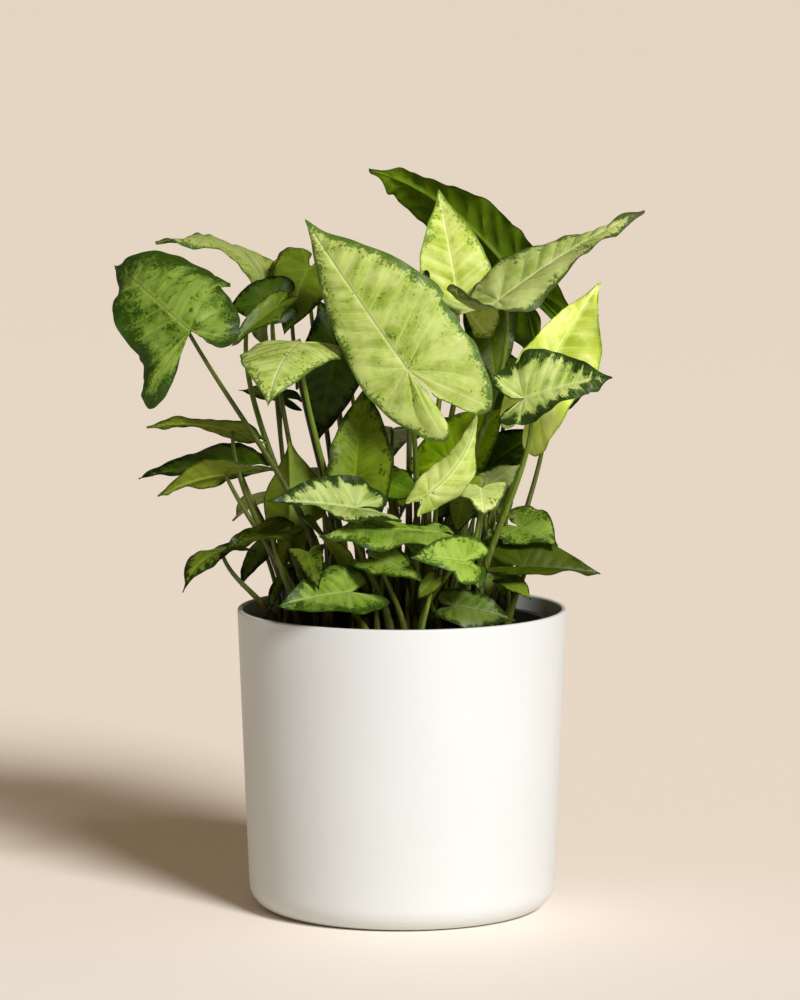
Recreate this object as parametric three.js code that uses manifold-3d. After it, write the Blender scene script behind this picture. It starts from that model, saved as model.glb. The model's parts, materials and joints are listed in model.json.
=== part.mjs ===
// An arrowhead plant (Syngonium) rooted in a black nursery pot, which stands in a white cover pot.
// Millimetres, +Z up. The origin is the middle of the cover pot's underside.
import * as THREE from "three";
import { mergeVertices } from "three/addons/utils/BufferGeometryUtils.js";
import Module from "manifold-3d";

const wasm = await Module();
wasm.setup();

// Cover pot: a straight moulded cup, a little wider at the rim than at the foot.
const pot = {
  height: 165,
  rimRadius: 90,
  footRadius: 84, // where the rounded bottom corner meets the wall
  cornerRadius: 14,
  cornerSteps: 4,
  wall: 3,
  floor: 4,
  rimRound: 1.2,
  rimSteps: 2,
  sides: 40,
};

// Nursery pot: thin black plastic, standing on the cover pot's floor.
const nursery = {
  lift: 0.3, // clear of the floor it stands on
  top: 157,
  baseRadius: 62,
  shoulderRadius: 80.5, // the wall under the rim
  rimRadius: 84,
  rimHeight: 5,
  wall: 1.5,
  floor: 2,
  drainRadius: 6,
  drainRing: 42,
  drains: 6,
  drainSides: 10,
  sides: 32,
};

// Potting soil, a little higher in the middle.
const soil = {
  clearance: 0.4,
  edgeHeight: 148.5,
  shoulderHeight: 150.2,
  shoulder: 0.6, // its radius, as a share of the edge's
  crownHeight: 151,
  holeDepth: 24,
  holeClearance: 0.4,
  holeSides: 6,
};

// What all the leaves share.
const blade = {
  thickness: 0.7,
  halfWidth: 0.4, // in midrib lengths
  lobeReach: 0.43, // how far the lobes run behind the neck, in midrib lengths
  veinSlope: 0.55, // how far the side veins run forward for each step outward
  waves: 2.5, // ripples along each half of the margin
  wavePhase: 0.3, // where they start, in ripples, the other way on the other half
};
const stalk = {
  neckRadius: 1.3,
  sides: 5,
  start: 153, // height at which a stalk leaves its straight foot
  handle: 0.35, // length of the curve's handles, as a share of the way from foot to neck
  grip: 0.05, // how far along the midrib the stalk's end is sunk, in midrib lengths
};

// Steps that a curve is divided into, by length: over the first number, this many.
const steps = {
  margin: [[45, 10], [28, 8], [0, 6]],
  across: [[36, 2], [0, 1]],
  stalk: [[110, 5], [0, 4]],
};

// What a leaf has where its row doesn't say. The fields are explained above the rows.
const plainLeaf = {
  droop: 20, sickle: 0, width: 1, twist: 0, wave: 1.5, lean: [0, 0], arch: [0, 0, 0], thick: 3,
};
const plainHalf = { fold: 10, wide: 1, full: 0, cup: 15, lobe: 1, spread: 1, back: 15 };

// Half of the outline, from the tip round the lobe to the bay, in midrib lengths:
// forward of the stalk, and out from the midrib.
const halfOutline = [
  [1, 0],
  [0.86, 0.07],
  [0.66, 0.21],
  [0.42, 0.33],
  [0.17, 0.395],
  [-0.08, 0.4],
  [-0.3, 0.35],
  [-0.43, 0.25],
  [-0.4, 0.14],
  [-0.2, 0.045],
];

// The leaves. neck is where the stalk meets the blade, tip is the blade's point, and face is the way the
// upper surface looks. droop bends the blade down along its midrib, sickle bends it to its left, and twist
// turns it, all in degrees from neck to tip. width scales the blade across, and wave is the height of the
// margin's ripples on a blade 100 mm long. Each half has its fold up from the midrib, its cup down towards
// the margin, its width (wide), its fullness ahead of the neck (full), and a lobe that can be longer (lobe),
// set wider (spread under 1) and bent back and down (back). foot is where the stalk leaves the soil, lean
// and arch shift the stalk's lower and upper handles, and thick is its radius at the soil.
const leaves = [
  // The tall leaves.
  {
    name: "leaf_front_large", tone: "pale",
    neck: [3, -50, 300], tip: [-52, -18, 378], face: [-0.25, -0.93, 0.1], droop: 12,
    left: { fold: 0, wide: 0.66, lobe: 0.85, spread: 1.18 }, right: { fold: -5, wide: 0.92, full: 0.12 },
    foot: [9, -18], lean: [-1, 3],
  },
  {
    name: "leaf_far_left", tone: "mid",
    neck: [-113, -45, 320], tip: [-156, 13, 351], face: [-0.4, -0.75, 0.53], droop: 45, width: 1.15,
    left: { fold: -5, wide: 0.85, lobe: 1.3, spread: 0.45 },
    right: { fold: 5, wide: 0.92, full: 0.6, cup: 60, lobe: 0.5 },
    foot: [-40, -35], lean: [3, -4], arch: [12, -3, -21],
  },
  {
    name: "leaf_top_left_pale", tone: "pale",
    neck: [-75, 26, 338],
    tip: [-134, 3, 364],
    face: [-0.1, -0.55, 0.83],
    droop: 90,
    width: 0.85,
    twist: 55,
    left: { fold: -20, wide: 0.7, full: -0.3 }, right: { fold: 5, wide: 1.3, lobe: 1.2 },
    foot: [-48, 4], lean: [3, -1], arch: [2, 1, 4],
  },
  {
    name: "leaf_back_left_grey", tone: "under",
    neck: [-60, 36, 334], tip: [-64, 66, 355], face: [0, 0.6, 0.8], width: 1.1,
    left: { fold: 30, lobe: 0.5 }, right: { fold: 30, lobe: 0.5 },
    foot: [-34, 37], lean: [4, 3], arch: [2, -3, 1], thick: 2.5,
  },
  {
    name: "leaf_shaded_left_inner", tone: "dark",
    neck: [-51, 23, 348], tip: [-64, 3, 314], face: [-0.1, -0.8, 0.6], droop: 30, width: 1.1,
    foot: [-32, 18], lean: [0, 1], arch: [0, -4, -7], thick: 2.5,
  },
  {
    name: "leaf_shaded_left_outer", tone: "dark",
    neck: [-69, 2, 333], tip: [-95, 4, 329], face: [-0.2, -0.9, 0.4], width: 1.3,
    foot: [-59, 16], arch: [-4, 5, -1], thick: 2,
  },
  {
    name: "leaf_left_grey_folded", tone: "under",
    neck: [-69, -11, 329], tip: [-92, -25, 310], face: [-0.3, -0.9, 0.3], width: 0.6,
    left: { fold: 35 }, right: { fold: 35 },
    foot: [-48, -4], arch: [0, 14, -4], thick: 2.5,
  },
  {
    name: "leaf_left_pale_hanging", tone: "pale",
    neck: [-54, -27, 312], tip: [-71, -73, 282], face: [-0.1, -0.45, 0.9], droop: 60,
    left: { fold: -5, lobe: 0.8 }, right: { fold: -5, lobe: 0.7, wide: 1.35 },
    foot: [-26, -16],
  },
  {
    name: "leaf_top_dark", tone: "deep",
    neck: [62, 40, 343], tip: [-18, 7, 403], face: [-0.2, 0.6, 0.75], droop: 65, width: 0.62,
    left: { wide: 0.75, full: 0.05 },
    foot: [20, 25], lean: [0, 1], arch: [-9, -3, 1],
  },
  {
    name: "leaf_top_yellow", tone: "yellow",
    neck: [31, 6, 334], tip: [20, 11, 393], face: [0.05, -0.95, 0.3], droop: 8, width: 0.88,
    foot: [12, 10],
  },
  {
    name: "leaf_top_right_long", tone: "grey",
    neck: [52, -19, 334], tip: [132, 8, 381], face: [-0.3, -0.35, 0.9], droop: 15, width: 0.6, twist: 25,
    left: { fold: 10, back: -105, full: -0.2, lobe: 1.15 },
    right: { fold: 10, back: -105, wide: 0.85, lobe: 1.1 },
    foot: [14, -1], lean: [-1, 0],
  },
  {
    name: "leaf_right_hanging_olive", tone: "olive",
    neck: [47, 18, 322], tip: [52, 4, 282], face: [0.1, -0.9, 0.4], width: 0.8,
    foot: [24, 10], lean: [0, 1], arch: [0, 0, -3],
  },
  {
    name: "leaf_right_yellow", tone: "yellow",
    neck: [72, -8, 284], tip: [108, 2, 343], face: [-0.3, -0.9, 0.2],
    left: { fold: 45, wide: 0.64, lobe: 0.7 }, right: { fold: 15, wide: 0.8, full: 0.45, lobe: 1.1 },
    foot: [42, 2],
  },
  {
    name: "leaf_right_cream", tone: "cream",
    neck: [66, -38, 283], tip: [112, -56, 296], face: [0.1, -0.8, 0.6],
    left: { fold: 15, back: -60, wide: 1.25, lobe: 0.8 }, right: { fold: 10, wide: 0.8, lobe: 0.75 },
    foot: [40, -38], lean: [-4, -1], arch: [-1, -3, 2],
  },
  {
    name: "leaf_right_inner_dark", tone: "dark",
    neck: [60, 30, 279], tip: [57, 61, 302], face: [0, 0.6, 0.8],
    foot: [49, 43], lean: [0, -1], thick: 2.5,
  },
  {
    name: "leaf_right_behind", tone: "dark",
    neck: [79, 37, 272], tip: [106, 52, 280], face: [0.1, -0.3, 0.95],
    foot: [56, 16], thick: 2.5,
  },
  // The leaves at half height.
  {
    name: "leaf_centre_shaded", tone: "dark",
    neck: [-36, 13, 304], tip: [-46, 17, 254], face: [0, -0.8, 0.5], width: 0.85,
    foot: [-21, 2], arch: [-7, 2, -3],
  },
  {
    name: "leaf_centre_inner", tone: "dark",
    neck: [-31, 21, 308], tip: [-47, 26, 332], face: [-0.2, -0.9, 0.3],
    foot: [-14, 18], thick: 2,
  },
  {
    name: "leaf_centre_sail", tone: "olive",
    neck: [-25, -26, 239], tip: [-20, -11, 289], face: [0, -0.95, 0.3], droop: 10,
    left: { fold: 30, wide: 0.8 }, right: { fold: 30 },
    foot: [-18, -27], arch: [-2, -1, 0],
  },
  {
    name: "leaf_cream_left", tone: "cream",
    neck: [-25, -57, 226], tip: [-72, -70, 231], face: [0, -0.75, 0.66], droop: 15,
    left: { fold: 45 }, right: { fold: 10 },
    foot: [-6, -42], lean: [0, 2], arch: [-2, 7, -1],
  },
  {
    name: "leaf_centre_level", tone: "mid",
    neck: [20, -43, 211], tip: [-44, -74, 213], face: [0, -0.55, 0.83],
    left: { fold: 15, lobe: 0.35, back: 50 }, right: { fold: -10, lobe: 0.2, wide: 0.65 },
    foot: [16, -42], arch: [5, 2, 0],
  },
  {
    name: "leaf_right_pale_sail", tone: "yellow",
    neck: [14, -59, 234],
    tip: [40, -36, 276],
    face: [-0.5, -0.8, 0.2],
    droop: 5,
    sickle: 60,
    width: 0.75,
    left: { fold: 5, lobe: 0.35, wide: 0.8 }, right: { fold: -75, lobe: 0.35 },
    foot: [10, -28], arch: [2, 40, 6],
  },
  {
    name: "leaf_right_green_mid", tone: "mid",
    neck: [25, 12, 244], tip: [59, 7, 276], face: [-0.1, -0.9, 0.4],
    foot: [30, -6], thick: 2.5,
  },
  {
    name: "leaf_right_curl", tone: "pale",
    neck: [43, -32, 234], tip: [44, -56, 222], face: [0, -0.3, 0.95], width: 1.2,
    left: { spread: 0.7, back: -10 }, right: { spread: 0.7, back: -20 },
    foot: [33, -38], arch: [1, 3, 2], thick: 2.5,
  },
  {
    name: "leaf_right_small_olive", tone: "olive",
    neck: [35, -22, 231], tip: [29, -20, 207], face: [-0.2, -0.9, -0.3], width: 0.9,
    foot: [30, -14], lean: [0, 1], arch: [-4, 11, -4], thick: 2,
  },
  {
    name: "leaf_centre_small_dark", tone: "dark",
    neck: [-9, -18, 236], tip: [12, -28, 227], face: [0.3, -0.85, 0.4],
    left: { wide: 1.15 },
    foot: [-2, -30], thick: 2,
  },
  {
    name: "leaf_right_lower_dark", tone: "dark",
    neck: [28, -14, 231], tip: [18, -11, 213], face: [-0.2, -0.9, 0.3],
    left: { lobe: 0.5 }, right: { lobe: 0.5 },
    foot: [17, -22], arch: [-2, -1, 2], thick: 2,
  },
  {
    name: "leaf_left_level_long", tone: "dark",
    neck: [-86, 10, 241], tip: [-144, 5, 235], face: [-0.1, -0.6, 0.8], droop: 25, width: 0.85,
    left: { fold: 35, lobe: 0.7 }, right: { fold: 0, lobe: 0.7 },
    foot: [-55, -6], lean: [-1, 0], arch: [4, 0, 4],
  },
  {
    name: "leaf_left_turned", tone: "under",
    neck: [-93, -31, 242], tip: [-131, -45, 231], face: [-0.2, 0.4, 0.9], twist: 40,
    right: { wide: 0.6, lobe: 0.3 },
    foot: [-51, -26], lean: [-4, -10], arch: [3, 8, -2],
  },
  {
    name: "leaf_left_upper_grey", tone: "under",
    neck: [-89, -17, 263], tip: [-138, -23, 266], face: [0, 0.5, 0.85], droop: 30, width: 0.42,
    left: { lobe: 0.7 }, right: { lobe: 0.7 },
    foot: [-60, -13], lean: [-1, 2], arch: [-1, 3, 1],
  },
  {
    name: "leaf_left_olive_upright", tone: "olive",
    neck: [-61, -23, 206], tip: [-62, -10, 262], face: [0.3, 0.9, 0.2], width: 0.5,
    left: { fold: 35, lobe: 0.5, full: 1 }, right: { fold: 35, lobe: 0.5, full: 1 },
    foot: [-45, -20], lean: [0, 1], arch: [1, 0, 0], thick: 4,
  },
  {
    name: "leaf_left_inner_strip", tone: "dark",
    neck: [-65, 35, 277], tip: [-90, 34, 281], face: [0, -0.4, 0.9],
    foot: [-52, 26], thick: 2,
  },
  {
    name: "leaf_right_small_pale", tone: "pale",
    neck: [43, -13, 229], tip: [66, -9, 245], face: [-0.2, -0.7, 0.7],
    foot: [38, -10], lean: [-2, 1], thick: 2,
  },
  // The low leaves.
  {
    name: "leaf_low_left_upper", tone: "mid",
    neck: [-68, -43, 211], tip: [-96, -48, 202], face: [-0.1, -0.65, 0.75], width: 1.3,
    left: { fold: 40 }, right: { fold: 0, wide: 0.75 },
    foot: [-55, -35], arch: [-1, 0, -1], thick: 2.5,
  },
  {
    name: "leaf_low_far_left", tone: "mid",
    neck: [-96, -24, 199], tip: [-118, -45, 179], face: [-0.5, -0.45, 0.75], droop: 60, width: 0.8,
    foot: [-67, -21], lean: [-3, 3], arch: [-1, -1, -1], thick: 2.5,
  },
  {
    name: "leaf_low_left_dark", tone: "dark",
    neck: [-75, -4, 199], tip: [-88, -12, 178], face: [-0.6, -0.6, 0.5], width: 0.85,
    left: { lobe: 0.5 }, right: { lobe: 0.5 },
    foot: [-65, -8], lean: [-1, 0], thick: 2,
  },
  {
    name: "leaf_low_left_sliver", tone: "dark",
    neck: [-63, -21, 189], tip: [-73, -29, 164], face: [-0.5, -0.8, 0.3], width: 0.4,
    foot: [-63, -29], arch: [1, 0, 1], thick: 2,
  },
  {
    name: "leaf_low_left_star", tone: "mid",
    neck: [-50, -62, 203], tip: [-44, -80, 185], face: [0, -0.7, 0.7], width: 0.7,
    left: { spread: 0.55, lobe: 1.2 }, right: { spread: 0.55, lobe: 1.2 },
    foot: [-38, -46], thick: 2,
  },
  {
    name: "leaf_low_left_big", tone: "pale",
    neck: [-28, -67, 182], tip: [-66, -86, 177], face: [0, -0.85, 0.5],
    left: { fold: 30 }, right: { fold: 0 },
    foot: [-18, -54],
  },
  {
    name: "leaf_low_centre_small", tone: "mid",
    neck: [-13, -64, 199], tip: [11, -82, 190], face: [0, -0.6, 0.8], width: 0.9,
    foot: [2, -58], thick: 2.5,
  },
  {
    name: "leaf_low_centre_bright", tone: "pale",
    neck: [10, -50, 202], tip: [-2, -58, 209], face: [0, -0.7, 0.7],
    foot: [22, -53], thick: 2,
  },
  {
    name: "leaf_low_centre_tiny", tone: "yellow",
    neck: [16, -68, 188], tip: [8, -67, 178], face: [0, -0.8, 0.6],
    foot: [10, -66], arch: [-1, -1, -2], thick: 2,
  },
  {
    name: "leaf_low_right_pale", tone: "pale",
    neck: [32, -71, 199], tip: [4, -85, 203], face: [0.1, -0.85, 0.5], width: 1.1,
    left: { full: -0.6, lobe: 0.9, spread: 1.2 }, right: { lobe: 1.6 },
    foot: [10, -52], lean: [-1, 0], arch: [-2, 2, -1], thick: 2.5,
  },
  {
    name: "leaf_low_right_front", tone: "mid",
    neck: [28, -56, 173], tip: [61, -56, 165], face: [0, -0.75, 0.65], width: 0.9,
    left: { lobe: 0.6 }, right: { lobe: 0.6 },
    foot: [36, -50], thick: 2.5,
  },
  {
    name: "leaf_low_right_curl", tone: "dark",
    neck: [41, -52, 191], tip: [41, -57, 181], face: [0, -0.6, 0.8],
    foot: [46, -44], lean: [0, 1], thick: 2,
  },
  {
    name: "leaf_low_right_upright", tone: "mid",
    neck: [50, -22, 185], tip: [47, -11, 213], face: [0, -0.95, 0.3], width: 0.85,
    foot: [48, -32], thick: 2.5,
  },
  {
    name: "leaf_right_low_pale", tone: "pale",
    neck: [63, -22, 212], tip: [84, -37, 203], face: [0.2, -0.7, 0.7], width: 1.3,
    left: { wide: 1.15, lobe: 1.5 },
    foot: [51, -9], lean: [0, 1], arch: [-1, 2, 3], thick: 2,
  },
  {
    name: "leaf_low_right_long", tone: "olive",
    neck: [65, -38, 192], tip: [107, -36, 188], face: [0.1, -0.85, 0.5],
    left: { fold: 0 }, right: { fold: 60 },
    foot: [57, -28], arch: [0, 2, 2],
  },
  {
    name: "leaf_low_right_star", tone: "mid",
    neck: [57, -42, 185], tip: [69, -59, 177], face: [0.2, -0.7, 0.7], width: 0.75,
    foot: [56, -38], thick: 2,
  },
  // The leaves on the far side.
  {
    name: "leaf_back_top", tone: "mid",
    neck: [2, 60, 320], tip: [22, 108, 296], face: [0.1, 0.55, 0.83], droop: 40,
    foot: [4, 34],
  },
  {
    name: "leaf_back_left", tone: "mid",
    neck: [-37, 60, 299], tip: [-60, 105, 275], face: [-0.1, 0.5, 0.85], droop: 40,
    foot: [-22, 37], lean: [1, 1], arch: [1, 1, 1],
  },
  {
    name: "leaf_back_right", tone: "mid",
    neck: [40, 75, 285], tip: [66, 117, 262], face: [0.1, 0.5, 0.85], droop: 40,
    foot: [28, 46], lean: [-1, 0],
  },
  {
    name: "leaf_back_middle", tone: "mid",
    neck: [-5, 80, 255], tip: [-12, 126, 228], face: [0, 0.5, 0.85], droop: 40,
    foot: [-4, 52],
  },
  {
    name: "leaf_back_low_left", tone: "mid",
    neck: [-44, 67, 231], tip: [-56, 94, 209], face: [-0.1, 0.5, 0.85], droop: 40,
    foot: [-40, 48], thick: 2.5,
  },
  {
    name: "leaf_back_low_right", tone: "mid",
    neck: [46, 76, 222], tip: [58, 97, 196], face: [0.1, 0.5, 0.85], droop: 40,
    foot: [40, 54], thick: 2.5,
  },
  {
    name: "leaf_back_low_middle", tone: "pale",
    neck: [4, 77, 197], tip: [14, 99, 178], face: [0, 0.5, 0.85], droop: 40,
    foot: [8, 60], thick: 2.5,
  },
  {
    name: "leaf_back_side_left", tone: "pale",
    neck: [-70, 55, 221], tip: [-95, 70, 204], face: [-0.3, 0.4, 0.85], droop: 40,
    foot: [-54, 38], thick: 2.5,
  },
];

// The colours that the leaves are sorted into.
const tones = {
  pale: "#b6c76f",
  yellow: "#cbd873",
  cream: "#d7dfa0",
  grey: "#a9b685",
  mid: "#8fa953",
  olive: "#8c9a52",
  under: "#6b7b50",
  dark: "#4f6a2b",
  deep: "#3f6416",
};

const up = new THREE.Vector3(0, 0, 1);
const radians = THREE.MathUtils.degToRad;
const stepsFor = (list, length) => list.find(([over]) => length > over)[1];

const wholeLeaves = leaves.map((leaf) => ({
  ...plainLeaf,
  ...leaf,
  left: { ...plainHalf, ...leaf.left },
  right: { ...plainHalf, ...leaf.right },
}));

// A three.js geometry as a solid: shared vertices merged, collapsed triangles dropped.
function solidOf(geometry) {
  const bare = geometry.clone().deleteAttribute("normal").deleteAttribute("uv");
  const merged = mergeVertices(bare);
  const index = merged.index.array;
  const corners = [];
  for (let i = 0; i < index.length; i += 3) {
    const [a, b, c] = [index[i], index[i + 1], index[i + 2]];
    if (a !== b && b !== c && c !== a) {
      corners.push(a, b, c);
    }
  }
  return new wasm.Manifold(
    new wasm.Mesh({
      numProp: 3,
      vertProperties: new Float32Array(merged.attributes.position.array),
      triVerts: new Uint32Array(corners),
    }),
  );
}

function geometryOf(solid) {
  const made = solid.getMesh();
  const geometry = new THREE.BufferGeometry();
  geometry.setAttribute("position", new THREE.BufferAttribute(made.vertProperties, 3));
  geometry.setIndex(new THREE.BufferAttribute(made.triVerts, 1));
  geometry.computeVertexNormals();
  return geometry;
}

function namedMesh(name, solid, look) {
  const mesh = new THREE.Mesh(geometryOf(solid), new THREE.MeshStandardMaterial(look));
  mesh.name = name;
  return mesh;
}

// A profile of [radius, height] points, turned about the Z axis.
function turned(profile, sides) {
  const outline = profile.map(([radius, height]) => new THREE.Vector2(radius, height));
  return solidOf(new THREE.LatheGeometry(outline, sides).rotateX(Math.PI / 2));
}

// Profile points on a round, from one angle to another, both ends included.
function round(centre, radius, from, to, steps) {
  return Array.from({ length: steps + 1 }, (_, i) => {
    const angle = radians(from + ((to - from) * i) / steps);
    return [centre[0] + radius * Math.cos(angle), centre[1] + radius * Math.sin(angle)];
  });
}

function makePot() {
  const corner = [pot.footRadius - pot.cornerRadius, pot.cornerRadius];
  const innerRound = pot.cornerRadius - pot.wall;
  const rim = [pot.rimRadius - pot.rimRound, pot.height - pot.rimRound];
  const lip = [pot.rimRadius - pot.wall + pot.rimRound, pot.height - pot.rimRound];
  const profile = [
    [0, 0],
    ...round(corner, pot.cornerRadius, -90, 0, pot.cornerSteps),
    ...round(rim, pot.rimRound, 0, 90, pot.rimSteps),
    ...round(lip, pot.rimRound, 90, 180, pot.rimSteps),
    ...round([corner[0], pot.floor + innerRound], innerRound, 0, -90, pot.cornerSteps),
    [0, pot.floor],
  ];
  const look = { color: "#f3f2ec", roughness: 0.45, metalness: 0 };
  return namedMesh("pot", turned(profile, pot.sides), look);
}

// An upright cylinder, whose middle is at x, y, z.
function cylinder(radius, height, sides, x, y, z) {
  const upright = new THREE.CylinderGeometry(radius, radius, height, sides).rotateX(Math.PI / 2);
  return solidOf(upright.translate(x, y, z));
}

function makeNurseryPot() {
  const bottom = pot.floor + nursery.lift;
  const shoulder = nursery.top - nursery.rimHeight;
  const profile = [
    [0, bottom],
    [nursery.baseRadius, bottom],
    [nursery.shoulderRadius, shoulder],
    [nursery.rimRadius, shoulder],
    [nursery.rimRadius, nursery.top],
    [nursery.shoulderRadius - nursery.wall, nursery.top],
    [nursery.baseRadius - nursery.wall, bottom + nursery.floor],
    [0, bottom + nursery.floor],
  ];
  let solid = turned(profile, nursery.sides);
  for (let i = 0; i < nursery.drains; i++) {
    const angle = (2 * Math.PI * i) / nursery.drains;
    const x = nursery.drainRing * Math.cos(angle);
    const y = nursery.drainRing * Math.sin(angle);
    const drain = cylinder(nursery.drainRadius, 4 * nursery.floor, nursery.drainSides, x, y, bottom);
    solid = solid.subtract(drain);
  }
  return namedMesh("nursery_pot", solid, { color: "#1c1b18", roughness: 0.6, metalness: 0 });
}

function makeSoil() {
  const floor = pot.floor + nursery.lift + nursery.floor;
  const slope = (nursery.shoulderRadius - nursery.baseRadius) / (nursery.top - floor);
  const innerRadius = (height) =>
    nursery.baseRadius - nursery.wall + slope * (height - floor) - soil.clearance;
  const edge = innerRadius(soil.edgeHeight);
  const bottom = floor + soil.clearance;
  const profile = [
    [0, bottom],
    [innerRadius(bottom), bottom],
    [edge, soil.edgeHeight],
    [edge * soil.shoulder, soil.shoulderHeight],
    [0, soil.crownHeight],
  ];
  let solid = turned(profile, nursery.sides);
  const bottomOfHole = soil.edgeHeight - soil.holeDepth;
  const height = 2 * soil.holeDepth;
  for (const leaf of wholeLeaves) {
    const radius = (leaf.thick + soil.holeClearance) / Math.cos(Math.PI / soil.holeSides);
    const [x, y] = leaf.foot;
    const hole = cylinder(radius, height, soil.holeSides, x, y, bottomOfHole + height / 2);
    solid = solid.subtract(hole);
  }
  return namedMesh("soil", solid, { color: "#1b1712", roughness: 0.95, metalness: 0 });
}

// Where a point of a circular bend lies: along the start direction, and off to the side it bends to.
function bendOffset(totalAngle, totalLength, distance) {
  const curvature = totalAngle / totalLength;
  const angle = curvature * distance;
  if (Math.abs(curvature) < 1e-6) {
    return { along: distance, aside: 0, angle: 0 };
  }
  return { along: Math.sin(angle) / curvature, aside: (1 - Math.cos(angle)) / curvature, angle };
}

// The blade's own frame at the neck, its length, and the way and angle of its bend.
function bladeFrame(leaf) {
  const neck = new THREE.Vector3(...leaf.neck);
  const forward = new THREE.Vector3(...leaf.tip).sub(neck);
  const chord = forward.length();
  forward.normalize();
  const normal = new THREE.Vector3(...leaf.face);
  normal.addScaledVector(forward, -normal.dot(forward)).normalize();
  const left = new THREE.Vector3().crossVectors(normal, forward);
  const droop = radians(leaf.droop);
  const sickle = radians(leaf.sickle);
  const bend = Math.max(Math.hypot(droop, sickle), 1e-3);
  const bendWay = left.clone().multiplyScalar(sickle / bend).addScaledVector(normal, -droop / bend);
  const axis = new THREE.Vector3().crossVectors(forward, bendWay);
  const turn = (vector) => vector.clone().applyAxisAngle(axis, -bend / 2);
  const length = (chord * (bend / 2)) / Math.sin(bend / 2);
  return {
    neck,
    length,
    bend,
    axis,
    forward: turn(forward),
    normal: turn(normal),
    left: turn(left),
    bendWay: turn(bendWay),
  };
}

// The midrib's place and frame at a distance x ahead of the neck, in midrib lengths. Behind the neck, each
// half follows its own lobe down.
function midribAt(leaf, frame, x, half) {
  const { neck, length, bend, axis, forward, normal, left, bendWay } = frame;
  const place = neck.clone();
  let frameHere;
  if (x >= 0) {
    const { along, aside, angle } = bendOffset(bend, length, x * length);
    place.addScaledVector(forward, along).addScaledVector(bendWay, aside);
    frameHere = [forward, normal, left].map((v) => v.clone().applyAxisAngle(axis, angle));
  } else {
    const { along, aside, angle } = bendOffset(radians(half.back), blade.lobeReach * length, -x * length);
    place.addScaledVector(forward, -along).addScaledVector(normal, -aside);
    frameHere = [forward, normal, left].map((v) => v.clone().applyAxisAngle(left, -angle));
  }
  const [ahead, above, aside] = frameHere;
  const turn = radians(leaf.twist) * x;
  return { place, above: above.applyAxisAngle(ahead, turn), aside: aside.applyAxisAngle(ahead, turn) };
}

// A template point (x forward, y out from the midrib, both in midrib lengths) on one half of a leaf. rim runs
// from 0 on the midrib to 1 on the margin, and station from 0 at the tip to 1 in the bay.
function bladePoint(leaf, frame, side, x, y, rim, station) {
  const half = side > 0 ? leaf.left : leaf.right;
  const [lobeX, lobeY] = lobePoint(half, x, y);
  const { place, above, aside } = midribAt(leaf, frame, lobeX, half);
  const width = leaf.width * half.wide * frame.length;
  const wing = bendOffset(-radians(half.cup), blade.halfWidth * width, lobeY * width);
  const fold = radians(half.fold);
  const out = wing.along * Math.cos(fold) - wing.aside * Math.sin(fold);
  const rise = wing.along * Math.sin(fold) + wing.aside * Math.cos(fold);
  const phase = 2 * Math.PI * (blade.waves * station + blade.wavePhase * side);
  const ripple = leaf.wave * (frame.length / 100) * Math.sin(phase) * rim * rim;
  return place.addScaledVector(aside, side * out).addScaledVector(above, rise + ripple);
}

// Lengthens and spreads a lobe: points behind the last side vein turn about the neck.
function lobePoint(half, x, y) {
  const veinAngle = Math.atan2(1, blade.veinSlope);
  const angle = Math.atan2(y, x);
  if (angle <= veinAngle || y <= 0) {
    return [x, y * (1 + half.full * Math.sin(Math.PI * Math.min(x, 1)))];
  }
  const share = (angle - veinAngle) / (Math.PI - veinAngle);
  const heading = veinAngle + (angle - veinAngle) * half.spread;
  const reach = Math.hypot(x, y) * (1 + (half.lobe - 1) * share);
  return [reach * Math.cos(heading), reach * Math.sin(heading)];
}

// The blade as a thin slab. Both faces have the same triangles.
function makeBlade(leaf) {
  const frame = bladeFrame(leaf);
  const stations = stepsFor(steps.margin, frame.length);
  const rings = stepsFor(steps.across, frame.length);
  const outline = new THREE.SplineCurve(halfOutline.map(([x, y]) => new THREE.Vector2(x, y)));
  const points = [];
  const triangles = [];
  const rows = {};
  const addPoint = (point) => points.push(point) - 1;
  const spine = new Map();
  for (const side of [1, -1]) {
    rows[side] = [];
    for (let i = 0; i <= stations; i++) {
      const margin = outline.getPoint(i / stations);
      const root = Math.min(1, Math.max(0, margin.x - blade.veinSlope * margin.y));
      if (!spine.has(root)) {
        spine.set(root, addPoint(bladePoint(leaf, frame, side, root, 0, 0, 0)));
      }
      const row = [spine.get(root)];
      for (let j = 1; j <= rings && root < 1; j++) {
        const share = j / rings;
        const x = root + share * (margin.x - root);
        row.push(addPoint(bladePoint(leaf, frame, side, x, share * margin.y, share, i / stations)));
      }
      rows[side].push(row);
    }
    const add = (a, b, c) => {
      if (a !== b && b !== c && c !== a) {
        triangles.push(side > 0 ? [a, b, c] : [a, c, b]);
      }
    };
    for (let i = 0; i < stations; i++) {
      for (let j = 0; j < rings; j++) {
        const [near, far] = [rows[side][i], rows[side][i + 1]];
        const [a, b] = [near[Math.min(j, near.length - 1)], near[Math.min(j + 1, near.length - 1)]];
        add(a, b, far[j + 1]);
        add(a, far[j + 1], far[j]);
      }
    }
  }
  const bay = (side) => rows[side][stations];
  const edge = [
    ...rows[1].slice(0, -1).map((row) => row.at(-1)),
    ...[...bay(1)].reverse(),
    ...bay(-1).slice(1),
    ...rows[-1].slice(1, -1).map((row) => row.at(-1)).reverse(),
  ];
  return slab(points, triangles, edge);
}

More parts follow.
